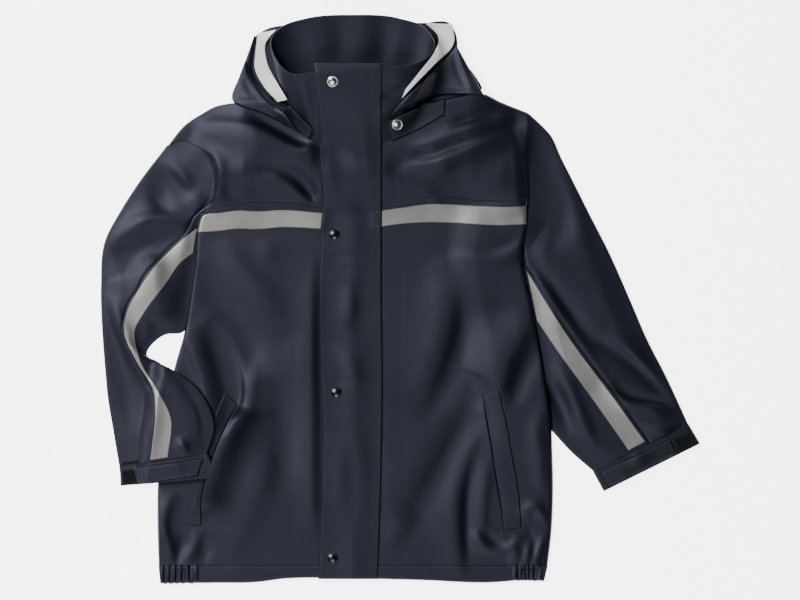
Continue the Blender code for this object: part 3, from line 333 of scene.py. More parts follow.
def make_coating_effect():
    """The pebbled skin of a soft coating: tone, gloss and height, finer than a millimetre."""
    group, given, out = new_effect(
        "coating_grain",
        {"Grain Scale": 2600.0, "Grain Depth": 0.35, "Creasing": 0.6, "Gloss": 0.4,
         "Tone": (0.02, 0.02, 0.03, 1.0), "Worn Tone": (0.05, 0.05, 0.06, 1.0)},
        {"Color": "NodeSocketColor", "Roughness": "NodeSocketFloat", "Height": "NodeSocketFloat"})
    place = on_object(group)
    given, out = given.outputs, out.inputs
    cells = add_node(group, "ShaderNodeTexVoronoi", {"Vector": place, "Scale": given["Grain Scale"]},
                     feature="SMOOTH_F1")
    cloud, rumple = noise(group, place, 14.0, 3.0), noise(group, place, 60.0, 3.0)
    pebble = joined(group, "MULTIPLY", cells.outputs["Distance"], given["Grain Depth"])
    rumples = joined(group, "MULTIPLY", rumple, given["Creasing"])
    worn = add_node(group, "ShaderNodeMix", {
        "Factor": joined(group, "MULTIPLY", cloud, rumple),
        "A": given["Tone"], "B": given["Worn Tone"]},
        data_type="RGBA")
    spread = joined(group, "MULTIPLY", joined(group, "SUBTRACT", cloud, 0.5), 0.12)
    for label, value in (("Height", joined(group, "ADD", pebble, rumples)),
                         ("Color", worn.outputs["Result"]),
                         ("Roughness", joined(group, "ADD", spread, given["Gloss"]))):
        group.links.new(value, out[label])
    return group


COATING = make_coating_effect()


def coated_cloth(name, tone, worn, gloss):
    """A material of the coated knit in a tone, with the gloss of its coating."""
    material, tree, shader = new_material(name, {
        "Specular IOR Level": 0.4, "Specular Tint": (0.74, 0.75, 1.0, 1)})
    effect = add_node(tree, "ShaderNodeGroup", node_tree=COATING)
    for label, value in (("Tone", (*tone, 1)), ("Worn Tone", (*worn, 1)), ("Gloss", gloss)):
        effect.inputs[label].default_value = value
    tree.links.new(effect.outputs["Color"], shader["Base Color"])
    tree.links.new(effect.outputs["Roughness"], shader["Roughness"])
    raise_grain(tree, shader, effect.outputs["Height"], 0.5, 0.0006)
    return material


NAVY = "navy_coated_cloth"
NAVY_CLOTH = coated_cloth(NAVY, (0.0013, 0.0017, 0.0050), (0.0023, 0.0028, 0.0076), 0.49)


def dress(piece, node, material, slot, flat=None, area=None, held="laid", rests_on=()):
    """Finish a piece: its material and the node that it stands for; its cut where it is cloth is not
    used.
    """
    piece.data.materials.append(material)
    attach(piece, "root")
    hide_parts(node)
    return piece


def make_back():
    rows, columns = np.linspace(0, 1, 84), np.linspace(0, 1, 66)
    plan = panel(SHOULDER_RIGHT + NECK_BACK[1:] + SHOULDER_LEFT[1:],
                 [HEM_END_RIGHT, HEM_CENTRE, HEM_END_LEFT],
                 ARMHOLE_RIGHT + SIDE_RIGHT[1:], ARMHOLE_LEFT + SIDE_LEFT[1:], rows, columns)
    return cloth_from_grid("back_panel", raised(plan, back_top))


dress(make_back(), "back", NAVY_CLOTH, NAVY, (0.46, 0.54), 0.198, rests_on=["table_top"])


# ---- Fronts, yokes and hem casings ----
# Each front is cut in a yoke, a body with a slanted welt pocket, and a hem casing with elastic at
# its side. The coated knit is seamed with a row of stitches outside, and keeps soft folds.
NECK_RIGHT = [(-124, 208), (-116, 192), (-104, 179), (-82, 168.5), (-53, 165)]
NECK_LEFT = [(-53, 165), (-24, 168.5), (-2, 179), (10, 192), (18, 208)]
YOKE_SEAM_RIGHT = [(-217, 90), (-199, 98), (-170, 104), (-135, 105), (-111, 104), (-86, 99),
                   (-53, 100)]
YOKE_SEAM_LEFT = [(-53, 100), (-20, 102), (17, 109), (53, 111), (89, 107), (138, 106)]
MOUTH_RIGHT = [(-176, -115), (-186, -133), (-197, -156), (-206, -180), (-211, -197),
               (-215, -216), (-215.5, -247)]
MOUTH_LEFT = [(89, -105), (96, -146), (104, -195), (110, -230), (112.5, -252)]
HEM_RIGHT = [(-261, -310.3), (-240, -310), (-202, -309.5), (-153, -308.5), (-131, -305.5),
             (-53, -304.5)]
HEM_LEFT = [(-53, -304.5), (22, -306.5), (102, -309), (130, -307), (157, -307.5)]

PLACKET_REACH = 30         # half of what the placket presses flat, in mm
BODY_DEEPEST = 3.1         # no fold of the body dips deeper, in mm
# Folds of the body, drawn on pattern paper: each a line of (u, v, left width, right width, height),
# widths in mm to its left and right as it runs, a trough below 0.
BODY_FOLDS = [
    # right yoke
    [(192, 131, 9, 14, 0), (212, 126, 9, 20, 4.2), (236, 127, 9, 26, 5.7), (258, 131, 9, 28, 6.2),
     (280, 141, 8, 24, 5.9), (300, 149, 7, 17, 5.3), (318, 152, 6, 12, 3.0)],
    [(243, 109, 6, 9, 0), (262, 118, 6, 10, -5.3), (282, 128, 6, 9, -6.5), (299, 140, 6, 7, -5.3),
     (308, 147, 5, 5, 0)],
    [(244, 166, 8, 8, 0), (262, 169, 9, 9, -2.6), (280, 172, 9, 7, -4.6), (297, 179, 8, 6, -6.0),
     (308, 190, 7, 5, -6.2), (318, 201, 7, 5, 0)],
    [(196, 130, 26, 20, 0), (206, 138, 34, 22, 2.6), (217, 154, 34, 12, 3.6),
     (220, 174, 36, 8, 5.2), (219, 196, 28, 8, 3.4), (218, 214, 14, 7, 0)],
    [(256, 184, 9, 8, 0), (274, 178, 9, 8, 2.2), (290, 184, 8, 8, 3.0), (302, 194, 8, 7, 2.7),
     (312, 204, 6, 6, 0)],
    [(246, 196, 8, 8, 0), (258, 190, 8, 8, -1.2), (272, 186, 8, 8, 0)],
    [(228, 176, 12, 12, 0), (231, 190, 12, 12, -1.6), (230, 202, 12, 12, 0)],
    # left yoke
    [(400, 166, 7, 9, 0), (414, 167, 8, 11, 2.7), (430, 164, 8, 12, 4.3), (452, 155, 8, 13, 4.9),
     (476, 146, 9, 14, 4.5), (500, 138, 9, 14, 3.0), (514, 134, 8, 10, 0)],
    [(408, 158, 5, 6, 0), (428, 156, 5, 7, -2.3), (450, 148, 5, 7, -3.2), (480, 138, 6, 8, -3.0),
     (508, 128, 7, 8, -2.2), (526, 117, 6, 6, 0)],
    [(408, 148, 7, 7, 0), (424, 146, 7, 8, 2.2), (446, 137, 7, 9, 3.1), (470, 128, 8, 10, 3.5),
     (496, 122, 9, 10, 2.4), (516, 116, 7, 8, 0)],
    [(448, 127, 4, 4, 0), (468, 120, 4, 4, -3.2), (492, 117, 4, 4, -2.4), (502, 117, 4, 4, 0)],
    [(408, 148, 4, 4, 0), (424, 151, 3, 3, -1.6), (434, 148, 3, 3, 0)],
    [(520, 136, 12, 9, 0), (496, 150, 20, 11, -4.3), (470, 166, 26, 14, -5.4),
     (450, 182, 26, 15, -4.3), (434, 200, 20, 12, 0)],
    [(384, 172, 8, 8, 0), (400, 168, 10, 10, -2.4), (424, 172, 12, 12, -2.8),
     (446, 168, 12, 10, 0)],
    [(506, 124, 10, 22, 0), (511, 150, 10, 34, 5.4), (514, 180, 10, 36, 6.4),
     (516, 204, 9, 28, 3.4), (517, 216, 8, 16, 0)],
    # right armhole ridge
    [(200, 150, 9, 5, 0), (214, 156, 9, 5, 3.2), (219, 170, 9, 5, 4.5), (218, 188, 9, 5, 3.2),
     (214, 206, 8, 5, 1.2)],
    # chest, right front
    [(222, 236, 12, 12, 0), (234, 262, 14, 16, 2.0), (262, 298, 18, 22, 3.0),
     (284, 340, 20, 18, 0)],
    [(272, 236, 9, 9, 0), (268, 252, 11, 12, 0.9), (262, 266, 9, 9, 0)],
    [(196, 262, 12, 14, 0), (214, 288, 14, 16, -2.2), (238, 322, 15, 17, -3.0),
     (252, 352, 15, 17, -2.0), (262, 378, 14, 14, 0)],
    [(240, 322, 9, 10, 0), (250, 344, 10, 13, -1.8), (248, 366, 9, 12, -1.4), (240, 384, 8, 9, 0)],
    [(322, 252, 6, 12, 0), (317, 290, 6, 18, 1.6), (314, 340, 6, 24, 2.6), (316, 402, 6, 24, 2.8),
     (318, 450, 6, 22, 2.6), (318, 500, 6, 18, 2.0), (318, 545, 6, 12, 0)],
    [(282, 372, 14, 14, 0), (284, 410, 16, 16, -2.0), (286, 450, 16, 16, -2.4),
     (282, 500, 15, 15, 0)],
    [(262, 442, 14, 18, 0), (262, 474, 15, 20, 2.3), (250, 508, 15, 20, 2.6),
     (234, 540, 12, 16, 1.4), (226, 566, 10, 12, 0)],
    # beside the right forearm
    [(180, 326, 12, 6, 0), (193, 350, 16, 6, 3.2), (203, 380, 16, 6, 3.2), (207, 408, 14, 6, 2.8),
     (210, 434, 9, 6, 0)],
    [(206, 322, 8, 14, 0), (222, 346, 9, 16, -5.0), (232, 374, 8, 16, -6.4),
     (237, 398, 6, 15, -6.0), (229, 418, 5, 10, -3.8), (221, 436, 5, 7, 0)],
    [(222, 330, 12, 8, 0), (238, 356, 14, 8, 1.6), (250, 382, 14, 8, 2.3), (247, 402, 13, 8, 2.7),
     (236, 424, 12, 7, 2.7), (224, 450, 10, 6, 1.8), (214, 478, 9, 6, 0)],
    # right side below the pocket
    [(176, 492, 6, 8, 0), (168, 505, 6, 9, 2.4), (164, 524, 6, 9, 3.2), (168, 545, 6, 9, 2.7),
     (174, 564, 5, 6, 0)],
    [(188, 528, 6, 6, 0), (184, 543, 6, 6, -3.0), (179, 556, 5, 6, -2.2), (178, 566, 4, 5, 0)],
    [(201, 528, 7, 10, 0), (197, 541, 6, 11, 1.9), (190, 555, 5, 9, 2.0), (185, 566, 4, 6, 0.8)],
    [(206, 534, 7, 7, 0), (206, 548, 7, 8, -1.9), (200, 566, 6, 7, 0)],
    # left front
    [(452, 252, 8, 6, 0), (470, 258, 9, 8, 1.4), (492, 260, 9, 8, 1.8), (512, 253, 8, 7, 1.5),
     (522, 242, 5, 5, 0)],
    [(456, 246, 5, 5, 0), (478, 250, 6, 6, -0.9), (504, 247, 6, 6, -1.1), (519, 238, 4, 4, 0)],
    [(436, 254, 16, 14, 0), (448, 290, 17, 22, 3.1), (446, 326, 16, 24, 3.9),
     (434, 366, 14, 22, 2.8), (420, 404, 12, 16, 0)],
    [(470, 296, 14, 12, 0), (464, 326, 16, 13, -3.5), (454, 362, 15, 13, -3.5),
     (438, 396, 13, 12, -1.9), (424, 424, 10, 10, 0)],
    [(522, 306, 14, 12, 0), (496, 312, 16, 14, -1.2), (474, 322, 14, 14, 0)],
    [(532, 310, 9, 16, 0), (520, 336, 10, 26, 3.5), (507, 358, 11, 30, 4.5), (500, 384, 9, 26, 3.5),
     (492, 398, 6, 12, 0)],
    [(544, 338, 8, 8, 0), (526, 366, 10, 9, -3.0), (516, 392, 9, 8, -2.4), (512, 408, 7, 7, 0)],
    [(476, 396, 9, 10, 0), (460, 432, 16, 12, -2.4), (438, 474, 18, 14, -2.8),
     (412, 516, 18, 14, -2.2), (392, 548, 12, 10, 0)],
    [(464, 398, 12, 24, 0), (440, 440, 13, 30, 1.3), (412, 486, 14, 30, 1.6),
     (390, 528, 11, 18, 0)],
    [(417, 508, 9, 9, 0), (402, 526, 9, 11, 2.3), (384, 548, 8, 9, 0)],
    [(484, 422, 8, 12, 0), (468, 452, 8, 17, 2.3), (460, 490, 7, 18, 2.8), (458, 530, 7, 17, 2.4),
     (459, 566, 7, 14, 1.2), (460, 578, 6, 8, 0)],
    [(476, 452, 6, 8, 0), (469, 490, 6, 8, -3.0), (467, 530, 6, 8, -2.7), (468, 566, 5, 6, 0)],
    [(490, 452, 6, 10, 0), (484, 486, 6, 12, 1.9), (482, 520, 6, 12, 1.8), (485, 548, 6, 8, 0)],
    # left side below the pocket
    [(474, 528, 5, 6, 0), (480, 541, 6, 7, 2.2), (494, 549, 7, 7, 2.6), (510, 546, 7, 6, 2.6),
     (522, 535, 5, 6, 0)],
    [(482, 526, 5, 5, 0), (490, 540, 6, 6, -2.0), (503, 544, 6, 6, -2.2), (516, 536, 5, 5, 0)],
    [(524, 520, 6, 6, 0), (527, 510, 6, 7, 2.2), (535, 507, 6, 7, 2.7), (542, 514, 5, 6, 1.9),
     (547, 526, 5, 6, 0)],
    [(530, 524, 5, 5, 0), (532, 540, 5, 5, -2.2), (530, 556, 4, 5, 0)],
    [(520, 545, 6, 6, 0), (515, 556, 6, 6, 2.2), (511, 568, 5, 5, 0)],
    [(536, 528, 4, 5, 0), (530, 546, 4, 5, 2.3), (525, 564, 4, 4, 1.6), (524, 571, 3, 4, 0)],
    [(545, 532, 4, 5, 0), (540, 548, 4, 5, 2.3), (534, 566, 4, 4, 1.4), (532, 572, 3, 4, 0)],
    [(548, 396, 7, 7, 0), (538, 424, 8, 9, 1.8), (540, 464, 8, 9, 2.3), (544, 500, 6, 7, 0)],
]


FOLD_SHARPNESS = 1.3       # how steeply a fold falls away from its line
FOLD_REACH = 3.2           # widths from its line at which a fold ends


def fold_relief(x, y, folds, deepest):
    """Height that a set of folds adds at places in mm on the plan.

    At a place, each fold counts by the nearest point of its line: full height on the line, half of
    it a fold's width away. Troughs are limited softly to the deepest.
    """
    x, y = np.broadcast_arrays(np.asarray(x, float), np.asarray(y, float))
    total = np.zeros(x.shape)
    for fold in folds:
        line = along([((u - 400) * DOT, (299 - v) * DOT, a, b, h) for u, v, a, b, h in fold],
                     np.linspace(0, 1, 8 * len(fold)))
        reach = FOLD_REACH * line[:, 2:4].max()
        near = ((x > line[:, 0].min() - reach) & (x < line[:, 0].max() + reach)
                & (y > line[:, 1].min() - reach) & (y < line[:, 1].max() + reach))
        if not near.any():
            continue
        px, py = x[near], y[near]
        best = np.full(px.shape, 1e9)
        add = np.zeros(px.shape)
        for start, end in zip(line[:-1], line[1:]):
            run = end[:2] - start[:2]
            length = max(run @ run, 1e-9)
            share = np.clip(((px - start[0]) * run[0] + (py - start[1]) * run[1]) / length, 0, 1)
            dx, dy = px - start[0] - share * run[0], py - start[1] - share * run[1]
            away = dx * dx + dy * dy
            on_left = run[0] * dy - run[1] * dx > 0
            here = start + share[:, None] * (end - start)
            width = np.where(on_left, here[:, 2], here[:, 3])
            value = here[:, 4] / (1.0 + (away / width ** 2) ** FOLD_SHARPNESS)
            closer = away < best
            best, add = np.where(closer, away, best), np.where(closer, value, add)
        total[near] += add
    return np.where(total < 0, -deepest * np.tanh(-total / deepest), total)


def body_top(x, y):
    """Height of the fronts' and yokes' upper face in mm, level under the placket."""
    beside_placket = rise(np.abs(x - CENTRE_X + 1.5), PLACKET_REACH, 13)
    folds = fold_relief(x, y, BODY_FOLDS, BODY_DEEPEST)
    return back_top(x, y) + SEAM + SLACK + WALL + folds * beside_placket


EDGES = {"left": np.s_[:, :1], "right": np.s_[:, -1:], "top": np.s_[:1], "bottom": np.s_[-1:]}


def roll_down(points, low, edge, radius, share=1.0):
    """Round a grid's edge down to a lower height, as cloth rolls over at a fold."""
    away = np.linalg.norm(points[..., :2] - points[EDGES[edge]][..., :2], axis=2) / radius
    bow = np.sqrt(np.clip(1.0 - (1.0 - np.minimum(away, 1.0)) ** 2, 0.0, 1.0))
    rolled = points[..., 2] + (low + (points[..., 2] - low) * bow - points[..., 2]) * share
    points[..., 2] = np.where(away < 1.0, rolled, points[..., 2])


PITCH = 2.4                # mm between the points of a panel
FINE = (0.4, 0.9, 1.6)     # places in mm beside an edge that turns
ROLL = 3.4                 # radius in mm at which a panel rolls over at a side or a shoulder
LIP_WIDTH = 24             # mm beside a pocket's mouth over which its standing edge rises
UNDER_LIP_WIDTH = 6        # and over which the edge below it is drawn down
MOUTH_GAP = 0.15           # half of the slit between them


def steps(length, pitch=PITCH, fine=FINE):
    """Fractions of a length in mm, even but finer towards both ends, where cloth turns at a seam."""
    ends = np.array(fine) / length
    inner = np.linspace(0, 1, max(4, int(round(length / pitch)) + 1))[1:-1]
    inner = inner[(inner > 1.4 * ends[-1]) & (inner < 1 - 1.4 * ends[-1])]
    return np.concatenate([[0.0], ends, inner, 1 - ends[::-1], [1.0]])


SEAM_GROOVE = 0.45         # depth in mm of a sewn edge


def sink_seam(points, edges):
    """Draw a panel's sewn edges down into the seam's groove."""
    for edge in edges:
        roll_down(points, points[EDGES[edge]][..., 2] - SEAM_GROOVE, edge, 1.7)


def run_of(line):
    """Length of a line through a table of places."""
    return np.linalg.norm(np.diff(np.array(line, float), axis=0), axis=1).sum()


def on_back(line):
    """Heights at which a turned edge rests on the back."""
    return back_top(line[..., 0], line[..., 1]) + SEAM + 0.4


def make_yoke(name, shoulder, neck, seam, armhole, on_left):
    """A yoke, its shoulder rolled down over the back and its neck left for the collar."""
    centre = [(CENTRE_X, 165), (CENTRE_X, 100)]
    top, sides = ((neck + shoulder[1:], (centre, armhole)) if on_left else
                  (shoulder + neck[1:], (armhole, centre)))
    columns, rows = steps(190), steps(115)
    points = raised(panel(top, seam, *sides, rows, columns), body_top)
    from_armhole = 1 - columns if on_left else columns
    shoulder_share = run_of(shoulder) / (run_of(shoulder) + run_of(neck))
    share = 1 - ease((from_armhole - shoulder_share + 0.05) / 0.1)
    roll_down(points, on_back(points[:1]), "top", ROLL, share[None])
    sink_seam(points, ["bottom", "right" if on_left else "left"])
    return cloth_from_grid(name, points)


def make_front(name, seam, side, above, mouth, below, hem, on_left, lip):
    """A front from the yoke seam to the hem casing, cut open along its pocket mouth."""
    divide = above + mouth + below
    runs = [run_of(part) for part in (above + mouth[:1], mouth, mouth[-1:] + below)]
    first, last = runs[0] / sum(runs), (runs[0] + runs[1]) / sum(runs)
    upper = steps(runs[0])[:-4] * first
    lower = last + steps(runs[2])[4:] * (1 - last)
    beside = np.linspace(first, last, int(runs[1] / PITCH))
    rows = np.concatenate([upper[upper < first - 0.003], beside, lower[lower > last + 0.003]])
    start = int(np.argmin(np.abs(rows - first)))
    end = int(np.argmin(np.abs(rows - last)))
    centre = [(CENTRE_X, seam[0][1] if on_left else seam[-1][1]), (CENTRE_X, HEM_SEAM_Y)]
    pocket_top = divide[0]
    narrow, wide = steps(62), steps(150)
    apart = [p for p in seam if abs(p[0] - pocket_top[0]) > 4]
    outward = [p for p in apart if (p[0] > pocket_top[0]) == on_left]
    inward = [p for p in apart if p not in outward]
    hem_side, hem_middle = [divide[-1], hem], [divide[-1], (CENTRE_X, HEM_SEAM_Y)]
    if on_left:
        side_plan = panel([pocket_top] + outward, hem_side, divide, side, rows, narrow)
        middle_plan = panel(inward + [pocket_top], hem_middle[::-1], centre, divide, rows, wide)
        blocks = [middle_plan, side_plan]
    else:
        side_plan = panel(outward + [pocket_top], hem_side[::-1], side, divide, rows, narrow)
        middle_plan = panel([pocket_top] + inward, hem_middle, divide, centre, rows, wide)
        blocks = [side_plan, middle_plan]
    cut = blocks[0].shape[1] - 1
    low = raised(np.concatenate([blocks[0], blocks[1][:, 1:]], axis=1), body_top)
    edge = "right" if on_left else "left"
    roll_down(low, on_back(low[EDGES[edge]]), edge, ROLL)
    sink_seam(low, ["top", "bottom"])
    high = low.copy()
    opened = ease(np.interp(rows, [first, first + 0.05, last - 0.07, last], [0, 1, 1, 0]))[:, None]
    from_mouth = np.linalg.norm(low[..., :2] - low[:, cut:cut + 1, :2], axis=2)
    high[..., 2] += lip * opened * np.exp(-(from_mouth / LIP_WIDTH) ** 2)
    tucked = low.copy()
    tucked[..., 2] -= 0.6 * opened * np.exp(-(from_mouth / UNDER_LIP_WIDTH) ** 2)
    normals = {}
    for label, grid in (("high", high), ("tucked", tucked)):
        normal = facing(grid)
        normal[:, -1 if on_left else 0, 2] = 0.0
        normals[label] = normal / np.linalg.norm(normal, axis=2, keepdims=True)
    middle, beside_it = (high, normals["high"]), (tucked, normals["tucked"])
    left, right = (middle, beside_it) if on_left else (beside_it, middle)
    count, width = low.shape[:2]
    index = np.arange(count * width).reshape(count, width)
    outer, normal = left[0].reshape(-1, 3).copy(), left[1].reshape(-1, 3).copy()
    outer[index[:, cut + 1:]] = right[0][:, cut + 1:]
    normal[index[:, cut + 1:]] = right[1][:, cut + 1:]
    slit = np.arange(start + 1, end)
    right_index = index.copy()
    right_index[slit, cut] = len(outer) + np.arange(len(slit))
    lip_points = right[0][slit, cut] + np.array([MOUTH_GAP, 0, 0])
    outer[index[slit, cut]] -= np.array([MOUTH_GAP, 0, 0])
    outer = np.concatenate([outer, lip_points])
    normal = np.concatenate([normal, right[1][slit, cut]])
    faces = [[at[i, j], at[i + 1, j], at[i + 1, j + 1], at[i, j + 1]] for i in range(count - 1)
             for j in range(width - 1) for at in [index if j < cut else right_index]]
    cloth_map = grid_map(low)
    cloth_map = np.concatenate([cloth_map, cloth_map[index[slit, cut]]])
    return cloth_piece(name, outer, faces, outer - CLOTH * normal, cloth_map)


def make_hem(name, seam_ends, hem, gathers, drawn):
    """An elastic casing: sharp little gathers where the elastic is, plain elsewhere."""
    first, last = sorted((seam_ends[0][0], seam_ends[1][0]))
    columns, rows = steps(last - first, 0.9), steps(19, 0.9)
    plan = panel(seam_ends, hem, [seam_ends[0], hem[0]], [seam_ends[1], hem[-1]], rows, columns)
    x = plan[..., 0]
    crests, troughs = (np.array([(u - 400) * DOT for u in places]) for places in (gathers, drawn))
    gap = np.abs(x[..., None] - crests).min(axis=-1) - np.abs(x[..., None] - troughs).min(axis=-1)
    both = np.concatenate([crests, troughs])
    inside = (x > both.min() - 3) & (x < both.max() + 3)
    wave = np.where(inside, -np.tanh(gap / 1.6), 0.0)
    down = rows[:, None]
    lean = 0.7 + 0.3 * np.sin(3.0 * down + x * 0.9)
    plan[..., 1] += np.where(inside, 0.5 * wave * down, 0.0)
    points = raised(plan, body_top)
    points[..., 2] += 1.25 * wave * lean * np.sqrt(np.sin(np.pi * np.clip(0.12 + 0.8 * down, 0, 1)))
    points[..., 2] += 0.5 * np.sin(np.pi * down) ** 0.5
    roll_down(points, on_back(points[-1:]), "bottom", 2.2)
    sink_seam(points, ["top"])
    return cloth_from_grid(name, points)


def make_back_hem():
    """The back's casing, flat on the table."""
    rows, columns = steps(20), steps(424, 3.0)
    seam, hem = [HEM_END_RIGHT, HEM_CENTRE, HEM_END_LEFT], HEM_RIGHT + HEM_LEFT[1:]
    plan = panel(seam, hem, [seam[0], hem[0]], [seam[-1], hem[-1]], rows, columns)
    return cloth_from_grid("back_hem_casing", raised(plan, back_top))


ABOVE_RIGHT, BELOW_RIGHT = [(-157, 105), (-163, 40), (-169, -50)], [(-212, -272), (-210, -290)]
ABOVE_LEFT, BELOW_LEFT = [(80, 108), (80, 30), (83, -50)], [(112, -272), (111, -290)]
# Crests and troughs of the gathers along the hem
GATHERS_RIGHT = ([162.4, 168.2, 174.5, 180.3, 187.0, 195.5], [165.5, 171.3, 177.0, 183.4, 191.5])
GATHERS_LEFT = ([515.5, 520.4, 523.8, 527.8, 531.9, 538.5], [518.7, 522.0, 525.4, 529.8, 534.0])

piece = make_yoke("yoke_right_cloth", SHOULDER_RIGHT, NECK_RIGHT, YOKE_SEAM_RIGHT, ARMHOLE_RIGHT,
                  False)
dress(piece, "yoke_right", NAVY_CLOTH, NAVY, (0.21, 0.13), 0.016, rests_on=["back_panel"])
piece = make_yoke("yoke_left_cloth", SHOULDER_LEFT, NECK_LEFT, YOKE_SEAM_LEFT, ARMHOLE_LEFT, True)
dress(piece, "yoke_left", NAVY_CLOTH, NAVY, (0.20, 0.13), 0.0188, rests_on=["back_panel"])
piece = make_front("front_right_cloth", YOKE_SEAM_RIGHT, SIDE_RIGHT, ABOVE_RIGHT, MOUTH_RIGHT,
                   BELOW_RIGHT, HEM_END_RIGHT, False, 9.0)
dress(piece, "front_right", NAVY_CLOTH, NAVY, (0.22, 0.40), 0.0767, rests_on=["back_panel"])
piece = make_front("front_left_cloth", YOKE_SEAM_LEFT, SIDE_LEFT, ABOVE_LEFT, MOUTH_LEFT,
                   BELOW_LEFT, HEM_END_LEFT, True, 2.0)
dress(piece, "front_left", NAVY_CLOTH, NAVY, (0.225, 0.405), 0.0833, rests_on=["back_panel"])
dress(make_back_hem(), "hem_back", NAVY_CLOTH, NAVY, (0.43, 0.02), 0.0076, rests_on=["table_top"])
for side, seam_ends, hem, gathers in (
        ("right", [HEM_END_RIGHT, HEM_CENTRE], HEM_RIGHT, GATHERS_RIGHT),
        ("left", [HEM_CENTRE, HEM_END_LEFT], HEM_LEFT, GATHERS_LEFT)):
    piece = make_hem(f"hem_{side}_casing", seam_ends, hem, *gathers)
    dress(piece, f"hem_{side}", NAVY_CLOTH, NAVY, (0.25, 0.02), 0.0046, held="gathered",
          rests_on=["back_panel"])


# ---- Sleeves ----
# Two-piece sleeves of the coated knit, seamed beside the tape and underneath and set into the
# armholes. Laid flat they are soft tubes: the right one is bent and its forearm lies on the front.
SLEEVE_THICK = 5.8
ARM_SLACK = 2.4
ARM_DEEPEST = 3.6          # no fold of a sleeve dips deeper, in mm
CAP_REACH = 0.32           # part of a sleeve's length that the armhole shapes
LIP = (0.25, 0.8, 1.7, 3.0)                   # places in mm beside a sleeve's folded edge
SEAM_COLUMNS = (-1.7, -0.8, 0.0, 0.8, 1.7)    # places in mm across the seam beside the tape
GROOVE = (0.15, 0.75, 1.0, 0.75, 0.15)        # shape of that seam's groove
UNDER_SEAM = 9             # columns from the inner edge to the seam underneath
SLEEVE_RIGHT = [
    (-254, 166, -215.5, 88), (-283, 129, -217.6, 62), (-304, 97, -220.2, 30), (-322, 62, -227.4, -8),
    (-326, 15, -237, -36.5), (-325, -28, -256, -39), (-323, -58, -276, -60), (-321, -82, -247, -77),
    (-319, -104, -219, -98), (-313, -141, -201, -140), (-306, -182, -209, -168),
]
SLEEVE_LEFT = [
    (139, 203, 130.5, 44), (151, 192, 128.5, 21), (164, 178, 126, 0), (175, 154, 124, -20),
    (188, 128, 117.5, -42), (207, 90, 114, -64), (225, 55, 119, -88), (250, -1, 139, -115),
    (269, -45, 165, -142), (289, -84, 187, -166), (313, -136, 211, -187),
]
TAPE_RIGHT = [(-221, 77), (-244, 59), (-284, 11), (-297, -14), (-300, -36), (-286, -69),
              (-268, -100), (-266, -125), (-271, -175)]
TAPE_RIGHT_LOW = [(-225, 50), (-238, 40), (-255, 16), (-278, -15), (-288, -33), (-283, -66),
                  (-262, -102), (-249, -128), (-252, -172)]
TAPE_LEFT = [(138, 31), (186, -45), (230, -104), (267, -155)]
TAPE_LEFT_LOW = [(149.5, -24), (164, -46), (206, -104), (249, -165)]
RIGHT_ARM_FOLDS = [
    # cap beside the armhole
    [(166, 147, 8, 9, 0), (186, 141, 8, 11, 1.8), (203, 150, 7, 13, 2.5), (214, 162, 5, 15, 2.8),
     (217, 180, 5, 15, 2.2), (212, 202, 5, 10, 0)],
    [(169, 156, 6, 8, 0), (177, 168, 6, 9, 1.9), (185, 179, 6, 9, 2.4), (192, 190, 6, 8, 0)],
    [(164, 166, 7, 7, 0), (172, 178, 7, 8, -2.8), (180, 190, 7, 8, -2.5), (187, 202, 6, 6, 0)],
    [(190, 190, 7, 7, 0), (198, 202, 7, 8, 1.6), (196, 216, 6, 7, 0)],
    [(160, 160, 9, 10, 0), (157, 176, 11, 11, -4.2), (160, 196, 11, 10, -4.9), (170, 214, 9, 8, 0)],
    # elbow crease from the outer edge
    [(102, 248, 7, 8, 0.6), (113, 234, 8, 10, 3.8), (130, 224, 9, 12, 5.0), (156, 219, 8, 11, 4.2),
     (180, 221, 6, 9, 2.0), (194, 220, 5, 6, 0)],
    [(104, 251, 5, 6, 0), (122, 250, 8, 13, -4.0), (146, 246, 9, 15, -5.2), (166, 240, 9, 13, -3.8),
     (184, 234, 6, 8, 0)],
    [(140, 250, 10, 12, 0), (150, 264, 14, 20, 4.2), (153, 280, 15, 28, 5.4),
     (153, 300, 20, 30, 4.8), (154, 318, 20, 24, 3.4), (156, 338, 10, 14, 0)],
    # seam ridge down the forearm
    [(101, 287, 6, 6, 0.6), (114, 311, 8, 7, 3.0), (127, 337, 9, 7, 3.8), (138, 363, 9, 7, 3.5),
     (152, 390, 8, 7, 2.9), (155, 410, 7, 6, 2.1), (152, 440, 6, 6, 1.8), (150, 456, 5, 5, 1.0)],
    [(104, 312, 7, 7, 0), (112, 345, 9, 9, -3.2), (124, 392, 11, 11, -3.9), (132, 436, 10, 10, 0)],
    [(106, 400, 8, 8, 0), (114, 430, 9, 9, 2.2), (120, 452, 8, 8, 0)],
    # inside of the arm
    [(200, 246, 6, 8, 0), (196, 262, 7, 9, -1.6), (193, 290, 7, 9, -1.6), (184, 316, 6, 8, 0)],
    [(152, 318, 6, 7, 0), (147, 336, 7, 7, 2.6), (148, 352, 6, 6, 0)],
    [(150, 356, 4, 6, 0.9), (176, 368, 4, 7, 3.6), (200, 384, 4, 8, 4.2), (213, 408, 5, 8, 3.6),
     (217, 436, 5, 7, 1.2)],
    [(180, 376, 4, 4, 0), (194, 398, 4, 5, -2.0), (202, 424, 5, 5, -2.6), (204, 448, 4, 4, 0)],
    [(190, 392, 4, 4, 0), (198, 416, 4, 4, 2.0), (203, 446, 4, 4, 0)],
    [(178, 436, 4, 4, 0), (184, 446, 4, 5, 2.6), (186, 456, 4, 4, 0)],
]
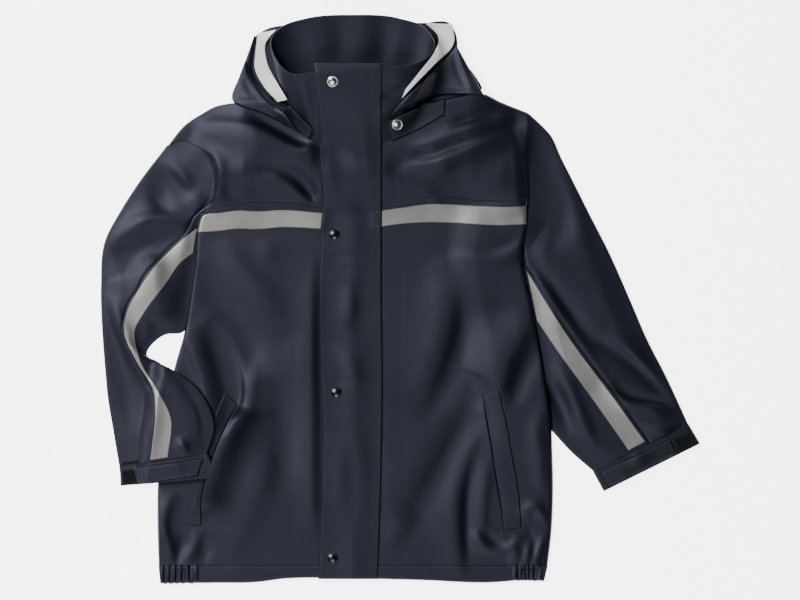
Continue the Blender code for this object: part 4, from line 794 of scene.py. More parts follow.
LEFT_ARM_FOLDS = [
    [(542, 118, 12, 14, 0), (549, 150, 16, 22, -4.4), (556, 186, 18, 26, -5.7),
     (556, 222, 18, 24, -5.2), (546, 256, 14, 14, 0)],
    [(560, 150, 10, 12, 0), (572, 180, 12, 14, 3.4), (584, 214, 12, 14, 2.7),
     (592, 250, 12, 12, 0)],
    [(524, 262, 4, 4, 0), (545, 292, 4, 4, 2.1), (570, 327, 4, 4, 1.7), (600, 372, 4, 4, 0.7),
     (640, 430, 4, 4, 0)],
    [(528, 252, 5, 4, 0), (548, 282, 7, 4, -3.0), (574, 318, 9, 5, -3.4), (592, 344, 8, 6, 0)],
    [(580, 330, 6, 6, 0), (598, 342, 6, 8, -3.0), (620, 353, 6, 8, -4.4), (645, 374, 5, 7, -4.0),
     (666, 394, 4, 5, -3.4), (680, 405, 4, 4, 0)],
    [(604, 336, 8, 5, 0), (628, 350, 9, 5, 3.0), (652, 372, 9, 4, 3.8), (676, 398, 6, 3, 2.7),
     (682, 404, 4, 3, 0)],
    [(610, 384, 5, 4, 0), (632, 397, 5, 4, -2.7), (654, 400, 4, 4, -4.0), (678, 405, 3, 3, -2.1)],
    [(600, 380, 5, 6, 0), (624, 402, 5, 7, 3.4), (650, 407, 4, 7, 4.0), (676, 410, 4, 6, 1.7)],
    [(545, 380, 5, 5, 0), (556, 396, 7, 6, -5.1), (564, 416, 7, 6, -4.7), (570, 438, 5, 5, 0)],
    [(554, 360, 5, 5, 0), (570, 390, 6, 7, 2.3), (584, 424, 6, 7, 2.3), (596, 450, 5, 5, 0)],
    [(640, 424, 5, 5, 0), (655, 430, 5, 5, 2.3), (672, 426, 4, 5, 2.1), (684, 420, 4, 4, 0)],
]


def under_right_arm(x, y):
    """What the right sleeve lies on: the table, then the front."""
    on_front = rise(x - side_x(SIDE_RIGHT, y), -27, 18) * rise(y, -52, -14)
    return (back_top(x, y) + SEAM + SLACK + WALL + 1.2 + ARM_SLACK) * on_front


def even(height):
    """The same height or thickness in mm everywhere on the plan."""
    return lambda x, _y: np.full(np.shape(x), height)


def left_arm_thickness(x, y):
    """Thickness of the left sleeve in mm, pressed flat where it is tucked under the body."""
    clear = np.maximum(rise(x - side_x(SIDE_LEFT, y), 4, 22), rise(y, -178, -10))
    clear = np.maximum(clear, rise(y, 55, 30))
    return TUCKED + (SLEEVE_THICK - TUCKED) * clear


def seam_share(table, rows, tape, shift):
    """Where the seam beside the tape crosses each section of a sleeve."""
    table = np.array(table, float)
    outer, inner = along(table[:, :2], rows), along(table[:, 2:], rows)
    line = along(tape, np.linspace(0, 1, 200))
    shares = []
    for start, end in zip(outer, inner):
        run = end - start
        width = np.linalg.norm(run)
        across = (line - start) @ np.array([-run[1], run[0]]) / width
        nearest = line[np.argmin(np.abs(across))]
        shares.append(np.clip(((nearest - start) @ run / width - shift) / width, 0.12, 0.82))
    smooth = np.pad(np.array(shares), 10, mode="edge")
    return np.convolve(smooth, np.ones(21) / 21, mode="valid")


def sleeve_tube(table, rows, shares, base, thickness, folds, armhole=None, underarm=0.05):
    """A flattened tube: for each row a ring over the top from the outer edge, and back underneath.

    Its first rows are drawn to the armhole, less so towards the underarm, and sewn down level with
    the body. Gives the rings, the column of the seam and the number of columns over the top.
    """
    table = np.array(table, float)
    outer, inner = along(table[:, :2], rows), along(table[:, 2:], rows)
    half = TUCKED / 2
    plan, upper, from_edge = [], [], []
    for start, end, share in zip(outer, inner, shares):
        width = np.linalg.norm(end - start)
        lip = np.array(LIP) / width
        groove = np.array(SEAM_COLUMNS) / width + share
        first = np.linspace(lip[-1], groove[0], 20)[1:-1]
        second = np.linspace(groove[-1], 1 - lip[-1], 24)[1:-1]
        over = np.concatenate([[0], lip, first, groove, second, 1 - lip[::-1], [1]])
        back = np.concatenate([1 - lip[:3], np.linspace(0.95, 0.05, 14), lip[:3][::-1]])
        fractions = np.concatenate([over, back])
        plan.append(start + fractions[:, None] * (end - start))
        from_edge.append(np.minimum(fractions, 1 - fractions) * width)
        upper.append(np.arange(len(fractions)) < len(over))
    plan, from_edge, upper = np.array(plan), np.array(from_edge), np.array(upper)
    seam_column, over_count = 1 + len(LIP) + len(first) + 2, len(over)
    if armhole is not None:
        run = plan[0, over_count - 1] - plan[0, 0]
        share = np.clip(((plan[0] - plan[0, 0]) @ run) / (run @ run), 0, 1)
        shift = along(armhole, share) - (plan[0, 0] + share[:, None] * run)
        reach = CAP_REACH + (underarm - CAP_REACH) * rise(share, 0.58, 0.25)
        fade = np.clip(1 - np.asarray(rows)[:, None] / reach[None], 0, 1) ** 2
        plan = plan + fade[..., None] * shift[None]
    x, y = plan[..., 0], plan[..., 1]
    low = base(x, y)
    full = thickness(x, y) + fold_relief(x, y, folds, ARM_DEEPEST) * ease(from_edge / 9)
    bow = np.sqrt(np.clip(1 - (1 - np.minimum(from_edge / half, 1)) ** 2, 0, 1))
    reach = TUCKED + (full - TUCKED) * ease(from_edge / 30)
    top = low + half + (reach - half) * bow
    bottom = low + 0.05 + half * (1 - bow)
    if armhole is not None:
        sewn = np.clip(1 - np.asarray(rows)[:, None] / 0.035, 0, 1) ** 2 * ease(from_edge / 9)
        top = top + sewn * (body_top(x, y) - 0.8 - top)
    tube = np.concatenate([plan, np.where(upper, top, bottom)[..., None]], axis=2)
    return tube, seam_column, over_count


def ring_facing(points):
    wide = np.concatenate([points[:, -1:], points, points[:, :1]], axis=1)
    return facing(wide)[:, 1:-1]


def set_in(path, amount):
    """A path moved sideways, to its right as it runs."""
    line = along(path, np.linspace(0, 1, 60))
    run = np.gradient(line, axis=0)
    aside = np.column_stack([run[:, 1], -run[:, 0]]) / np.linalg.norm(run, axis=1, keepdims=True)
    return line + amount * aside


def make_sleeve(side, table, tape, shift, base, thickness, folds, armhole, underarm, length):
    """The outer and the inner piece of a sleeve, with the groove of the seam between them."""
    rows = steps(length)
    shares = seam_share(table, rows, tape, shift)
    ring, seam, over = sleeve_tube(table, rows, shares, base, thickness, folds, armhole, underarm)
    normal = ring_facing(ring)
    ring[:, seam - 2:seam + 3, 2] -= np.array(GROOVE) * 0.7
    under = over + UNDER_SEAM
    count = ring.shape[1]
    made = []
    for name, order in ((f"sleeve_{side}_outer_cloth", [*range(under, count), *range(seam + 1)]),
                        (f"sleeve_{side}_inner_cloth", [*range(seam, under + 1)])):
        made.append(cloth_from_grid(name, ring[:, order], normal=normal[:, order]))
    return made


def cut_of(piece, slack=1.0, filled=0.3):
    """Width, length and area of a piece's flat cut, in metres, from the cloth map of its face.

    Filled is the least share of its rectangle that the cut takes up, near 1 for a tape.
    """
    mesh = piece.data
    coords = np.empty(len(mesh.loops) * 2)
    mesh.uv_layers["cloth"].data.foreach_get("uv", coords)
    width, length = coords.reshape(-1, 2).max(axis=0) * slack
    area = sum(face.area for face in mesh.polygons) / 2
    width = min(width, area / (filled * length))
    return (round(width, 3), round(length, 3)), round(min(area, 0.999 * width * length), 5)


on_table = even(0.0)
right = make_sleeve("right", SLEEVE_RIGHT, TAPE_RIGHT, 2.5, under_right_arm, even(SLEEVE_THICK),
                    RIGHT_ARM_FOLDS, set_in([*ARMHOLE_RIGHT[:-1], (-215, 88.5)], -0.9), 0.05, 350)
left = make_sleeve("left", SLEEVE_LEFT, TAPE_LEFT, 4.0, on_table, left_arm_thickness, LEFT_ARM_FOLDS,
                   set_in([*ARMHOLE_LEFT, (135, 81), (129.5, 44)], 0.9), 0.32, 380)
for piece, node in zip(right + left, ("sleeve_right_outer", "sleeve_right_inner",
                                      "sleeve_left_outer", "sleeve_left_inner")):
    flat, area = cut_of(piece)
    dress(piece, node, NAVY_CLOTH, NAVY, flat, area, rests_on=["table_top", "front_right_cloth"])


# ---- Cuffs ----
# Short bands of the coated knit, doubled and stitched to the sleeves' ends. Laid flat they are open
# rings at the wrist, a little thicker than the sleeve.
CUFF_RIGHT = [(-306, -182.6, -208, -168.6), (-305, -192, -204, -180), (-304.5, -203.5, -206, -195)]
CUFF_LEFT = [(313.3, -136.6, 211.3, -187.6), (319.5, -147, 217, -198), (326, -158, 223, -209)]
CUFF_WALL = 1.3
CUFF_FOLDS = [
    [(174, 460, 5, 5, 0), (178, 470, 5, 5, 0.9), (181, 482, 5, 5, 0)],
    [(192, 456, 5, 5, 0), (196, 466, 5, 5, -0.8), (198, 478, 5, 5, 0)],
    [(632, 450, 4, 4, 0), (638, 458, 4, 4, 1.0), (644, 468, 4, 4, 0)],
    [(600, 468, 5, 5, 0), (606, 478, 5, 5, -0.9), (610, 486, 5, 5, 0)],
]


def make_cuff(name, table, base):
    """An open ring of doubled cloth, its upper end drawn in under the sleeve."""
    rows = steps(21, 1.6)
    ring, _, _ = sleeve_tube(table, rows, np.full(len(rows), 0.5), base, even(TUCKED + 1.0),
                             CUFF_FOLDS)
    inner = ring[:1].copy()
    middle = inner.mean(axis=1, keepdims=True)
    leading = (ring[3:4].mean(axis=1) - middle[:, 0]) / 1.6
    inner += (middle - inner) * [0.028, 0.028, 0.45] - 2.6 * leading
    ring = np.concatenate([inner, ring])
    normal = ring_facing(ring)
    count, around = ring.shape[:2]
    index = np.arange(count * around).reshape(count, around)
    closing = np.stack([index[:-1, -1], index[1:, -1], index[1:, 0], index[:-1, 0]], axis=-1)
    outer = ring.reshape(-1, 3)
    reverse = outer - CUFF_WALL * normal.reshape(-1, 3)
    return cloth_piece(name, outer, [*quads(count, around), *closing], reverse, grid_map(ring))


for side, table, base in (("right", CUFF_RIGHT, under_right_arm), ("left", CUFF_LEFT, on_table)):
    piece = make_cuff(f"cuff_{side}_band", table, base)
    dress(piece, f"cuff_{side}", NAVY_CLOTH, NAVY, *cut_of(piece),
          rests_on=["front_right_cloth"] if side == "right" else ["table_top"])


# ---- Collar ----
# A stand collar of two layers of the coated knit, sewn into the neck. It leans back over the folded
# hood, so its mouth opens as an oval and its inner layer shows at the back.
# Round the collar from centre front by the right: x, y, z at the neck seam and at the rim
COLLAR = [
    (-53.4, 165.5, 13.8, -53.4, 249, 42), (-82, 169.2, 13.8, -90, 245, 41),
    (-103, 180, 13.9, -119, 244, 38), (-113.6, 192.4, 14, -135, 262, 33),
    (-120.4, 207, 14.6, -140, 280, 29), (-109, 217.5, 13.5, -130, 293, 26),
    (-85, 223, 12.2, -100, 304, 25), (-53, 224, 12, -54, 307.5, 25),
    (-21, 223, 12.2, -2, 304, 25), (3, 217.5, 13.5, 27, 293, 26),
    (14.4, 207, 14.6, 37, 278, 30), (7.6, 192.4, 14, 25, 258, 38),
    (-3, 180, 13.9, 5, 252, 41), (-24, 169.2, 13.8, -20, 251, 42),
    (-52.6, 165.5, 13.8, -52.6, 249, 42),
]
# Its ripples: share round from centre front by the right, share up, how wide round and up, height
COLLAR_RIPPLES = [
    (0.5, 0.40, 0.15, 0.34, -2.4),
    (0.13, 0.62, 0.020, 0.30, 1.5), (0.16, 0.40, 0.018, 0.30, -1.2), (0.20, 0.62, 0.024, 0.30, 1.3),
    (0.24, 0.45, 0.020, 0.35, -0.9), (0.87, 0.82, 0.035, 0.09, 1.3), (0.88, 0.64, 0.035, 0.08, -1.3),
    (0.89, 0.46, 0.040, 0.10, 1.5), (0.87, 0.26, 0.030, 0.09, -1.2), (0.84, 0.30, 0.016, 0.30, 1.0),
    (0.42, 0.80, 0.040, 0.30, -1.2), (0.47, 0.66, 0.032, 0.30, 0.9), (0.54, 0.82, 0.042, 0.30, -1.6),
    (0.59, 0.60, 0.030, 0.34, 1.0), (0.64, 0.76, 0.030, 0.34, -0.8), (0.36, 0.60, 0.032, 0.36, 0.7),
]


def make_collar():
    """A band from the neck seam to a rounded rim, turned over to its inner layer."""
    table = np.array(COLLAR, float)
    around = np.linspace(0, 1, 190)
    base, rim = along(table[:, :3], around), along(table[:, 3:], around)
    up = steps(84, 2.6)
    points = base[None] + (rim - base)[None] * up[:, None, None]
    out = facing(points)
    out *= np.sign(np.sum(out * (points - points.mean(axis=1, keepdims=True))))
    bulge = 2.0 * np.sin(np.pi * up)[:, None] + np.zeros(len(around))
    for place, height, wide, tall, amount in COLLAR_RIPPLES:
        sideways, upward = (around[None] - place) / wide, (up[:, None] - height) / tall
        bulge += amount * np.exp(-sideways ** 2 - upward ** 2)
    points = points + out * (bulge * ease(up / 0.15)[:, None])[..., None]
    lift = (rim - base) / np.linalg.norm(rim - base, axis=1, keepdims=True)
    face, reverse = points + 0.9 * out, (points - 1.1 * out)[::-1]
    middle = points[-1] - 0.1 * out[-1]
    turned = [middle + np.cos(turn) * out[-1] + np.sin(turn) * 0.9 * lift
              for turn in np.radians([25, 55, 90, 125, 155])]
    strip = np.concatenate([face, turned, reverse])
    count, width = strip.shape[:2]
    index = np.arange(count * width).reshape(count, width)
    faces = quads(count, width).tolist()
    faces += np.stack([index[-1, :-1], index[0, :-1], index[0, 1:], index[-1, 1:]], axis=-1).tolist()
    for end in (0, -1):
        column = index[:, end]
        faces += [[column[k], column[k + 1], column[-2 - k], column[-1 - k]]
                  for k in range(count // 2 - 1)]
        if count % 2:
            faces += [[column[count // 2 - 1], column[count // 2], column[count // 2 + 1]]]
    return new_piece("collar_cloth", strip.reshape(-1, 3), faces, grid_map(strip), closed=True)


dress(make_collar(), "collar", NAVY_CLOTH, NAVY, (0.42, 0.088), 0.033, held="folded",
      rests_on=["yoke_right_cloth", "yoke_left_cloth"])


# ---- Hood, folded under the collar ----
# A detachable hood of the coated knit, cut in two sides. Its crown lies folded in three layers under
# the upper back and lifts it.
HOOD_OUTLINE = [(-182, 219), (-175, 242), (-166, 266), (-158, 286), (-150, 292), (-100, 299),
                (-52, 301), (25, 301), (55, 300), (61, 290), (65, 266), (83, 242), (90, 227),
                (78, 222), (68, 208), (62, 180), (56, 145), (36, 120), (0, 111), (-53, 109),
                (-106, 111), (-132, 122), (-143, 150), (-147, 185), (-148, 205), (-153, 217)]
HOOD_MIDDLE = (-53, 215)


def ring_faces(rings, count):
    """Faces between rings of as many points each, one above the other."""
    return [[low + k, low + (k + 1) % count, low + count + (k + 1) % count, low + count + k]
            for low in range(0, (rings - 1) * count, count) for k in range(count)]


def make_folded_hood():
    """Three layers of the folded hood, flat below and rounded at each layer's fold."""
    outline = along(HOOD_OUTLINE + HOOD_OUTLINE[:1], np.linspace(0, 1, 181)[:-1])
    away = outline - np.array(HOOD_MIDDLE, float)
    outward = away / np.linalg.norm(away, axis=1, keepdims=True)
    layer = (HOOD_PAD - SEAM) / 3
    rings = [(outline - outward * 2.6, 0.0)]
    for level in range(3):
        rings += [(outline - outward * (1.9 - 1.4 * np.cos(turn)),
                   (level + 0.5 + 0.46 * np.sin(turn)) * layer)
                  for turn in np.radians([-75, -50, -25, 0, 25, 50, 75])]
    top = rings[-1]
    rings += [(top[0] - away * share, top[1]) for share in np.linspace(0.08, 0.96, 12)]
    points = np.concatenate([np.column_stack([loop, np.full(len(loop), height)])
                             for loop, height in rings])
    points[:, 2] *= rise(points[:, 1], 98.0, 52)
    count = len(outline)
    faces = ring_faces(len(rings), count)
    faces += [list(range(count)), list(range((len(rings) - 1) * count, len(rings) * count))]
    cloth_map = points[:, :2] - points[:, :2].min(axis=0)
    return new_piece("hood_folded_cloth", points, faces, cloth_map, closed=True)


dress(make_folded_hood(), "hood_folded", NAVY_CLOTH, NAVY, (0.27, 0.19), 0.044, held="folded",
      rests_on=["table_top"])


# ---- Reflective tapes ----
# Grey glass-bead tape, stitched across both fronts below the yokes and down both sleeves beside the
# seam. It is stiffer than the cloth, so it bridges small folds and keeps a soft grey shine.
TAPE_GREY = (0.228, 0.224, 0.215)
CHEST_TAPE_RIGHT = [[(200.2, 214), (220, 213), (238.8, 210.6), (257.5, 211.4), (282.5, 210.2),
                     (323, 213)],
                    [(195.8, 232.6), (220, 231), (238.8, 228.8), (255, 229.4), (282.5, 227.4),
                     (321, 229)]]
CHEST_TAPE_LEFT = [[(377, 211.4), (403, 207.7), (428, 204.4), (448, 204.4), (478, 206), (500.5, 207),
                    (526.4, 206.3)],
                   [(377, 227.4), (403, 223.8), (428, 222.4), (448, 222.8), (478, 224.6),
                    (500.5, 225.4), (526.4, 224.4)]]


def on_paper(dots):
    """Places on the pattern paper, in mm on the plan."""
    return [((u - 400) * DOT, (299 - v) * DOT) for u, v in dots]


def tree_over(*pieces):
    """Search tree over finished pieces."""
    corners, faces = [], []
    for name in pieces:
        mesh = bpy.data.objects[name].data
        first = len(corners)
        corners += [vertex.co.copy() for vertex in mesh.vertices]
        faces += [[first + index for index in face.vertices] for face in mesh.polygons]
    return BVHTree.FromPolygons(corners, faces)


def below(tree, x, y):
    """What lies uppermost at a place in mm: its point and the way that it faces."""
    return tree.ray_cast(Vector((x * MM, (y + MIDDLE_Y) * MM, 0.2)), Vector((0, 0, -1)))[:2]


def lying_on(plan, tree, reach=0.0):
    """Height in mm of what lies below each place of a plan, the highest within a reach."""
    spots = [(0.0, 0.0)]
    if reach:
        spots += [(reach * np.cos(turn), reach * np.sin(turn)) for turn in np.arange(8) * np.pi / 4]
    heights = np.zeros(plan.shape[:2])
    for place in np.ndindex(*plan.shape[:2]):
        for dx, dy in spots:
            hit = below(tree, plan[place][0] + dx, plan[place][1] + dy)[0]
            if hit is not None:
                heights[place] = max(heights[place], hit.z / MM)
    return heights


def softened(heights, times):
    """Smooth a grid of heights as a sheet that spans the steps below it and never dips in."""
    rows, columns = heights.shape
    for _ in range(times):
        wide = np.pad(heights, 1, mode="edge")
        near = [wide[i:i + rows, j:j + columns] for i in range(3) for j in range(3)]
        heights = np.maximum(heights, np.mean(near, axis=0))
    return heights


def strip_plan(edges, pitch):
    """Plan of a strip between two edges, as rows along it and columns across."""
    first, second = edges
    lines = [along(edge, np.linspace(0, 1, 40)) for edge in edges]
    length = max(run_of(line) for line in lines)
    width = np.linalg.norm(lines[0] - lines[1], axis=1).mean()
    plan = panel([first[0], second[0]], [first[-1], second[-1]], first, second,
                 steps(length, pitch), steps(width, pitch))
    run = np.cross(plan[1, 0] - plan[0, 0], plan[0, 1] - plan[0, 0])
    return plan[:, ::-1] if run < 0 else plan


LAID_GAP = 0.25            # air under a laid strip, in mm
laid_plans = {}            # plan of every laid strip, for the rows of stitches along its edges


def strip_of(name, plan, heights, thickness, turned):
    """A strip of cloth at given heights, each edge in turned rolled down by (depth, radius)."""
    laid_plans[name] = plan
    low = np.concatenate([plan, heights[..., None]], axis=2)
    top = low + [0, 0, thickness]
    level = top[..., 2].copy()
    for edge, (depth, radius) in turned.items():
        roll_down(top, level[EDGES[edge]] - depth, edge, radius)
    return cloth_piece(name, top.reshape(-1, 3), quads(*plan.shape[:2]), low.reshape(-1, 3),
                       grid_map(top))


def lay(name, plan, under, thickness, reach=0.0, times=2, relief=None, radius=1.3, share=0.7):
    """Lay a strip on finished pieces, its edges turned down by a share of its thickness."""
    heights = softened(lying_on(plan, tree_over(*under), reach), times) + LAID_GAP
    if relief is not None:
        heights = heights + relief(plan)
    turned = dict.fromkeys(EDGES, (share * thickness, radius))
    return strip_of(name, plan, heights, thickness, turned)


def make_tape_material():
    """Grey bead tape: even bead grain, clouded tone and a dull, slightly metallic shine."""
    material, tree, shader = new_material("reflective_grey_tape", {
        "Metallic": 0.85, "Sheen Weight": 0.1, "Sheen Roughness": 0.4,
        "Sheen Tint": (0.9, 0.9, 0.88, 1)})
    place = on_object(tree)
    beads, cloud = noise(tree, place, 3200.0, 1.0), noise(tree, place, 22.0, 4.0)
    creased = noise(tree, place, 90.0)
    mottled = joined(tree, "MULTIPLY", joined(tree, "ADD", cloud, beads), 0.5)
    dark, light = ([c * share for c in TAPE_GREY] for share in (0.72, 1.28))
    tree.links.new(blend_of(tree, mottled, dark, light, 0.3, 0.72), shader["Base Color"])
    rough = joined(tree, "ADD", joined(tree, "MULTIPLY", cloud, 0.3), 0.34)
    tree.links.new(rough, shader["Roughness"])
    grain = joined(tree, "ADD", joined(tree, "MULTIPLY", beads, 0.3), creased)
    raise_grain(tree, shader, grain, 0.5, 0.0004)
    return material


TAPE = make_tape_material()
for name, edges, under in (
        ("chest_tape_right", [on_paper(edge) for edge in CHEST_TAPE_RIGHT], ["front_right_cloth"]),
        ("chest_tape_left", [on_paper(edge) for edge in CHEST_TAPE_LEFT], ["front_left_cloth"]),
        ("sleeve_tape_right", [TAPE_RIGHT, TAPE_RIGHT_LOW],
         ["sleeve_right_outer_cloth", "sleeve_right_inner_cloth"]),
        ("sleeve_tape_left", [TAPE_LEFT, TAPE_LEFT_LOW],
         ["sleeve_left_outer_cloth", "sleeve_left_inner_cloth"])):
    piece = lay(f"{name}_band", strip_plan(edges, 1.6), under, 0.45, times=4, share=0.85, radius=0.9)
    dress(piece, name, TAPE, "reflective_tape", *cut_of(piece, 1.01, 0.85), rests_on=under)


# ---- Pocket welts ----
# A narrow folded strip of the coated knit finishes each slanted pocket mouth. It is stitched down
# flat along both sides and across its ends.
WELT_RIGHT = [(-191, -101), (-207, -143), (-220, -197), (-232, -245)]
WELT_LEFT = [(107, -99), (117, -140), (121, -163), (130, -217), (132, -249)]


def mouth_edge(mouth, beside):
    """A pocket mouth's path, moved a little towards the side seam."""
    side = np.sign(beside[0][0] - mouth[0][0])
    return [(x + side * 1.0, y) for x, y in mouth]


for side, mouth, edge in (("right", MOUTH_RIGHT, WELT_RIGHT), ("left", MOUTH_LEFT, WELT_LEFT)):
    front = f"front_{side}_cloth"
    plan = strip_plan([mouth_edge(mouth, edge), edge], 2.0)
    piece = lay(f"pocket_welt_{side}_strip", plan, [front], 0.9, times=3, share=0.8)
    dress(piece, f"pocket_welt_{side}", NAVY_CLOTH, NAVY, *cut_of(piece, 1.01), rests_on=[front])


# ---- Placket ----
# A storm placket of doubled cloth lies over the hidden zip from the hem to the collar's rim. Its
# wearer's left edge is sewn down with two rows; the other edge is free and closes with four snaps.
DOUBLED = 1.6              # two pressed layers of the cloth, in mm
PLACKET_RIGHT = [(-93, 255), (-89, 215), (-87, 173), (-84.5, 108), (-87, 21), (-86, -56),
                 (-83, -143), (-85, -219), (-89, -305)]
PLACKET_LEFT = [(-19.5, 254.5), (-20, 215), (-20, 173), (-20, 108), (-20, -1), (-19, -88),
                (-20, -165), (-22, -240), (-24.5, -305)]
PLACKET_FOLDS = [
    [(330, 76, 5, 6, 0), (332, 110, 6, 8, -0.5), (344, 160, 8, 9, -0.8), (356, 196, 9, 8, -0.6),
     (366, 222, 6, 6, 0)],
    [(356, 80, 7, 7, 0), (362, 118, 7, 8, 0.7), (368, 160, 7, 8, 0.8), (372, 206, 6, 6, 0)],
    [(328, 130, 5, 6, 0), (330, 170, 5, 6, 0.5), (338, 205, 6, 7, 0.4), (352, 222, 6, 6, 0)],
    [(348, 282, 4, 8, 0), (352, 304, 5, 12, 1.2), (343, 332, 4, 9, 0)],
    [(333, 340, 6, 6, 0), (348, 362, 10, 6, 1.0), (358, 386, 7, 5, 0)],
    [(326, 257, 3, 3, 0), (346, 255.5, 3, 3, -0.5), (372, 259, 3, 3, 0)],
    [(326, 268, 3, 3, 0), (344, 270, 3, 3, -0.35), (358, 269, 3, 3, 0)],
    [(362, 262, 8, 8, 0), (360, 310, 8, 8, -0.6), (358, 360, 8, 8, 0)],
    [(348, 350, 8, 9, 0), (354, 372, 9, 9, 0.7), (352, 402, 9, 9, 0)],
    [(330, 372, 5, 6, 0), (340, 380, 6, 6, -0.5), (356, 384, 6, 6, 0)],
    [(336, 430, 8, 8, 0), (340, 470, 9, 9, 0.8), (338, 520, 8, 8, 0)],
    [(360, 420, 8, 8, 0), (364, 476, 9, 9, 0.6), (362, 530, 8, 8, 0)],
    [(350, 440, 7, 7, 0), (352, 490, 7, 7, -0.6), (350, 545, 7, 7, 0)],
]
BODY = ["back_panel", "front_right_cloth", "front_left_cloth", "yoke_right_cloth", "yoke_left_cloth",
        "hem_right_casing", "hem_left_casing", "chest_tape_right_band", "chest_tape_left_band"]


def placket_relief(plan):
    """Soft waves of the free edge and a raised, padded look over the zip below."""
    x, y = plan[..., 0], plan[..., 1]
    over_zip = 0.9 * np.exp(-((x - CENTRE_X - 2) / 13) ** 2) * rise(y, 226, -60)
    return over_zip + fold_relief(x, y, PLACKET_FOLDS, 0.9)


def make_placket():
    """The placket bridges all that it covers, and climbs the collar without dipping back."""
    plan = strip_plan([PLACKET_RIGHT, PLACKET_LEFT], PITCH)
    heights = lying_on(plan, tree_over(*BODY, "collar_cloth"), 3.0)
    climbing = np.maximum.accumulate(heights[::-1])[::-1]
    heights = softened(np.where(plan[..., 1] > 150, climbing, heights), 6)
    heights = heights + 0.35 + placket_relief(plan)
    return strip_of("placket_cloth", plan, heights, DOUBLED, {
        "left": (1.1, 1.5), "right": (1.3, 1.3), "top": (1.1, 1.5), "bottom": (1.1, 1.5)})


piece = make_placket()
dress(piece, "placket", NAVY_CLOTH, NAVY, *cut_of(piece, 1.01),
      rests_on=BODY[1:5] + ["collar_cloth"])


# ---- Hood's neck straps ----
# The hood is joined to the neck by a doubled strap of the coated knit on each side. The left one's
# end snaps down beside the placket; the right one's end lies beside the collar.
STRAP_RIGHT = [[(-119, 210), (-106, 196), (-95, 185)], [(-130, 203), (-113, 185), (-99, 173)]]
STRAP_LEFT = [[(-12, 194), (18, 207), (49, 217.5)], [(-9, 171), (20, 184), (48, 200)]]
BESIDE_NECK = {"right": [], "left": ["placket_cloth"]}
STRAP_FOLDS = [
    [(398, 110, 4, 5, 0), (412, 106, 4, 5, 0.7), (432, 100, 5, 6, 0)],
    [(404, 130, 4, 4, 0), (418, 124, 4, 5, -0.5), (436, 112, 4, 4, 0)],
]


def small_folds(folds):
    """The relief of a small strip's folds, none deeper than its cloth."""
    return lambda plan: fold_relief(plan[..., 0], plan[..., 1], folds, 0.8)


for side, edges in (("right", STRAP_RIGHT), ("left", STRAP_LEFT)):
    under = [f"yoke_{side}_cloth", "collar_cloth", "back_panel", *BESIDE_NECK[side]]
    piece = lay(f"hood_strap_{side}", strip_plan(edges, 1.6), under, DOUBLED, reach=3.0, times=14,
                relief=small_folds(STRAP_FOLDS))
    dress(piece, f"hood_neckband_{side}", NAVY_CLOTH, NAVY, *cut_of(piece, 1.01), held="folded",
          rests_on=[f"yoke_{side}_cloth"])


# ---- Hood sides and their white lining band ----
# Beside the collar the lower corners of the hood come out from under it and lie over the shoulders.
# They are doubled cloth; a white band lines the face opening.
HOOD_SIDE_RIGHT = [[(-157.5, 287), (-160, 270), (-162, 252), (-152, 231), (-138, 214),
                    (-124, 199.5)],
                   [(-159, 286), (-166, 266), (-175, 242), (-183, 218), (-146, 200), (-110, 181)]]
HOOD_SIDE_LEFT = [[(-10, 200), (2, 215), (20, 231), (39, 250), (61, 277)],
                  [(-7, 199), (10, 209), (35, 219.5), (62, 223), (91.5, 220.8)]]
BAND_RIGHT = [[(-134, 292), (-146, 278), (-144.5, 258), (-134, 236), (-122, 216)],
              [(-155, 289), (-157, 270), (-158, 252), (-148, 231), (-133, 214)]]
BAND_LEFT = [[(28, 300), (42, 284), (38, 269), (23, 248), (6, 227)],
             [(57, 299), (59, 280), (37, 254), (18, 234), (2, 217)]]
HOOD_FOLDS = [
    # right side: the seam's ridge beside the face edge, and the seam down the side
    [(243, 60, 4, 3, 0.6), (246, 72, 5, 3, 1.6), (254, 86, 5, 3, 1.8), (266, 101, 5, 3, 1.6),
     (280, 116, 4, 3, 0.8)],
    [(246, 56, 2, 2, -0.8), (249, 70, 2, 2, -1.0), (257, 84, 2, 2, -1.0), (268, 98, 2, 2, -0.8),
     (282, 114, 2, 2, -0.4)],
    [(239, 78, 3, 3, 0), (243, 89, 3, 3, 0.8), (249, 100, 3, 3, 0.4)],
    [(236, 92, 4, 5, 0), (246, 98, 4, 5, -0.8), (260, 106, 4, 5, -0.6), (272, 114, 3, 4, 0)],
    # left side: the fold to the shoulder corner
    [(457, 46, 2, 3, 0.8), (460, 60, 2, 4, 1.4), (465, 74, 3, 4, 1.4), (471, 88, 3, 4, 0.8)],
    [(455, 50, 4, 3, 0), (456, 66, 5, 3, -0.9), (461, 80, 5, 3, -0.6), (466, 90, 4, 3, 0)],
    [(470, 72, 4, 4, 0), (478, 84, 5, 4, 1.0), (483, 93, 4, 4, 0.4)],
    [(404, 104, 4, 3, 0.4), (420, 98, 5, 4, 1.0), (438, 92, 6, 4, 1.4), (456, 89, 6, 3, 1.2),
     (476, 90, 5, 3, 0.8)],
    [(414, 88, 5, 6, 0), (430, 76, 7, 8, 0.8), (446, 62, 6, 8, 0)],
]


def hood_relief(plan):
    """The folds, and the soft rise of a layer that isn't pressed flat."""
    across = np.linspace(0, 1, plan.shape[1])[None]
    return fold_relief(plan[..., 0], plan[..., 1], HOOD_FOLDS, 0.9) + 9.0 * across * (1 - across)


def band_relief(plan):
    down = np.linspace(0, 1, plan.shape[0])[:, None]
    return 0.5 * np.sin(9.0 * down + 0.06 * plan[..., 0]) * (down > 0) + 0.5


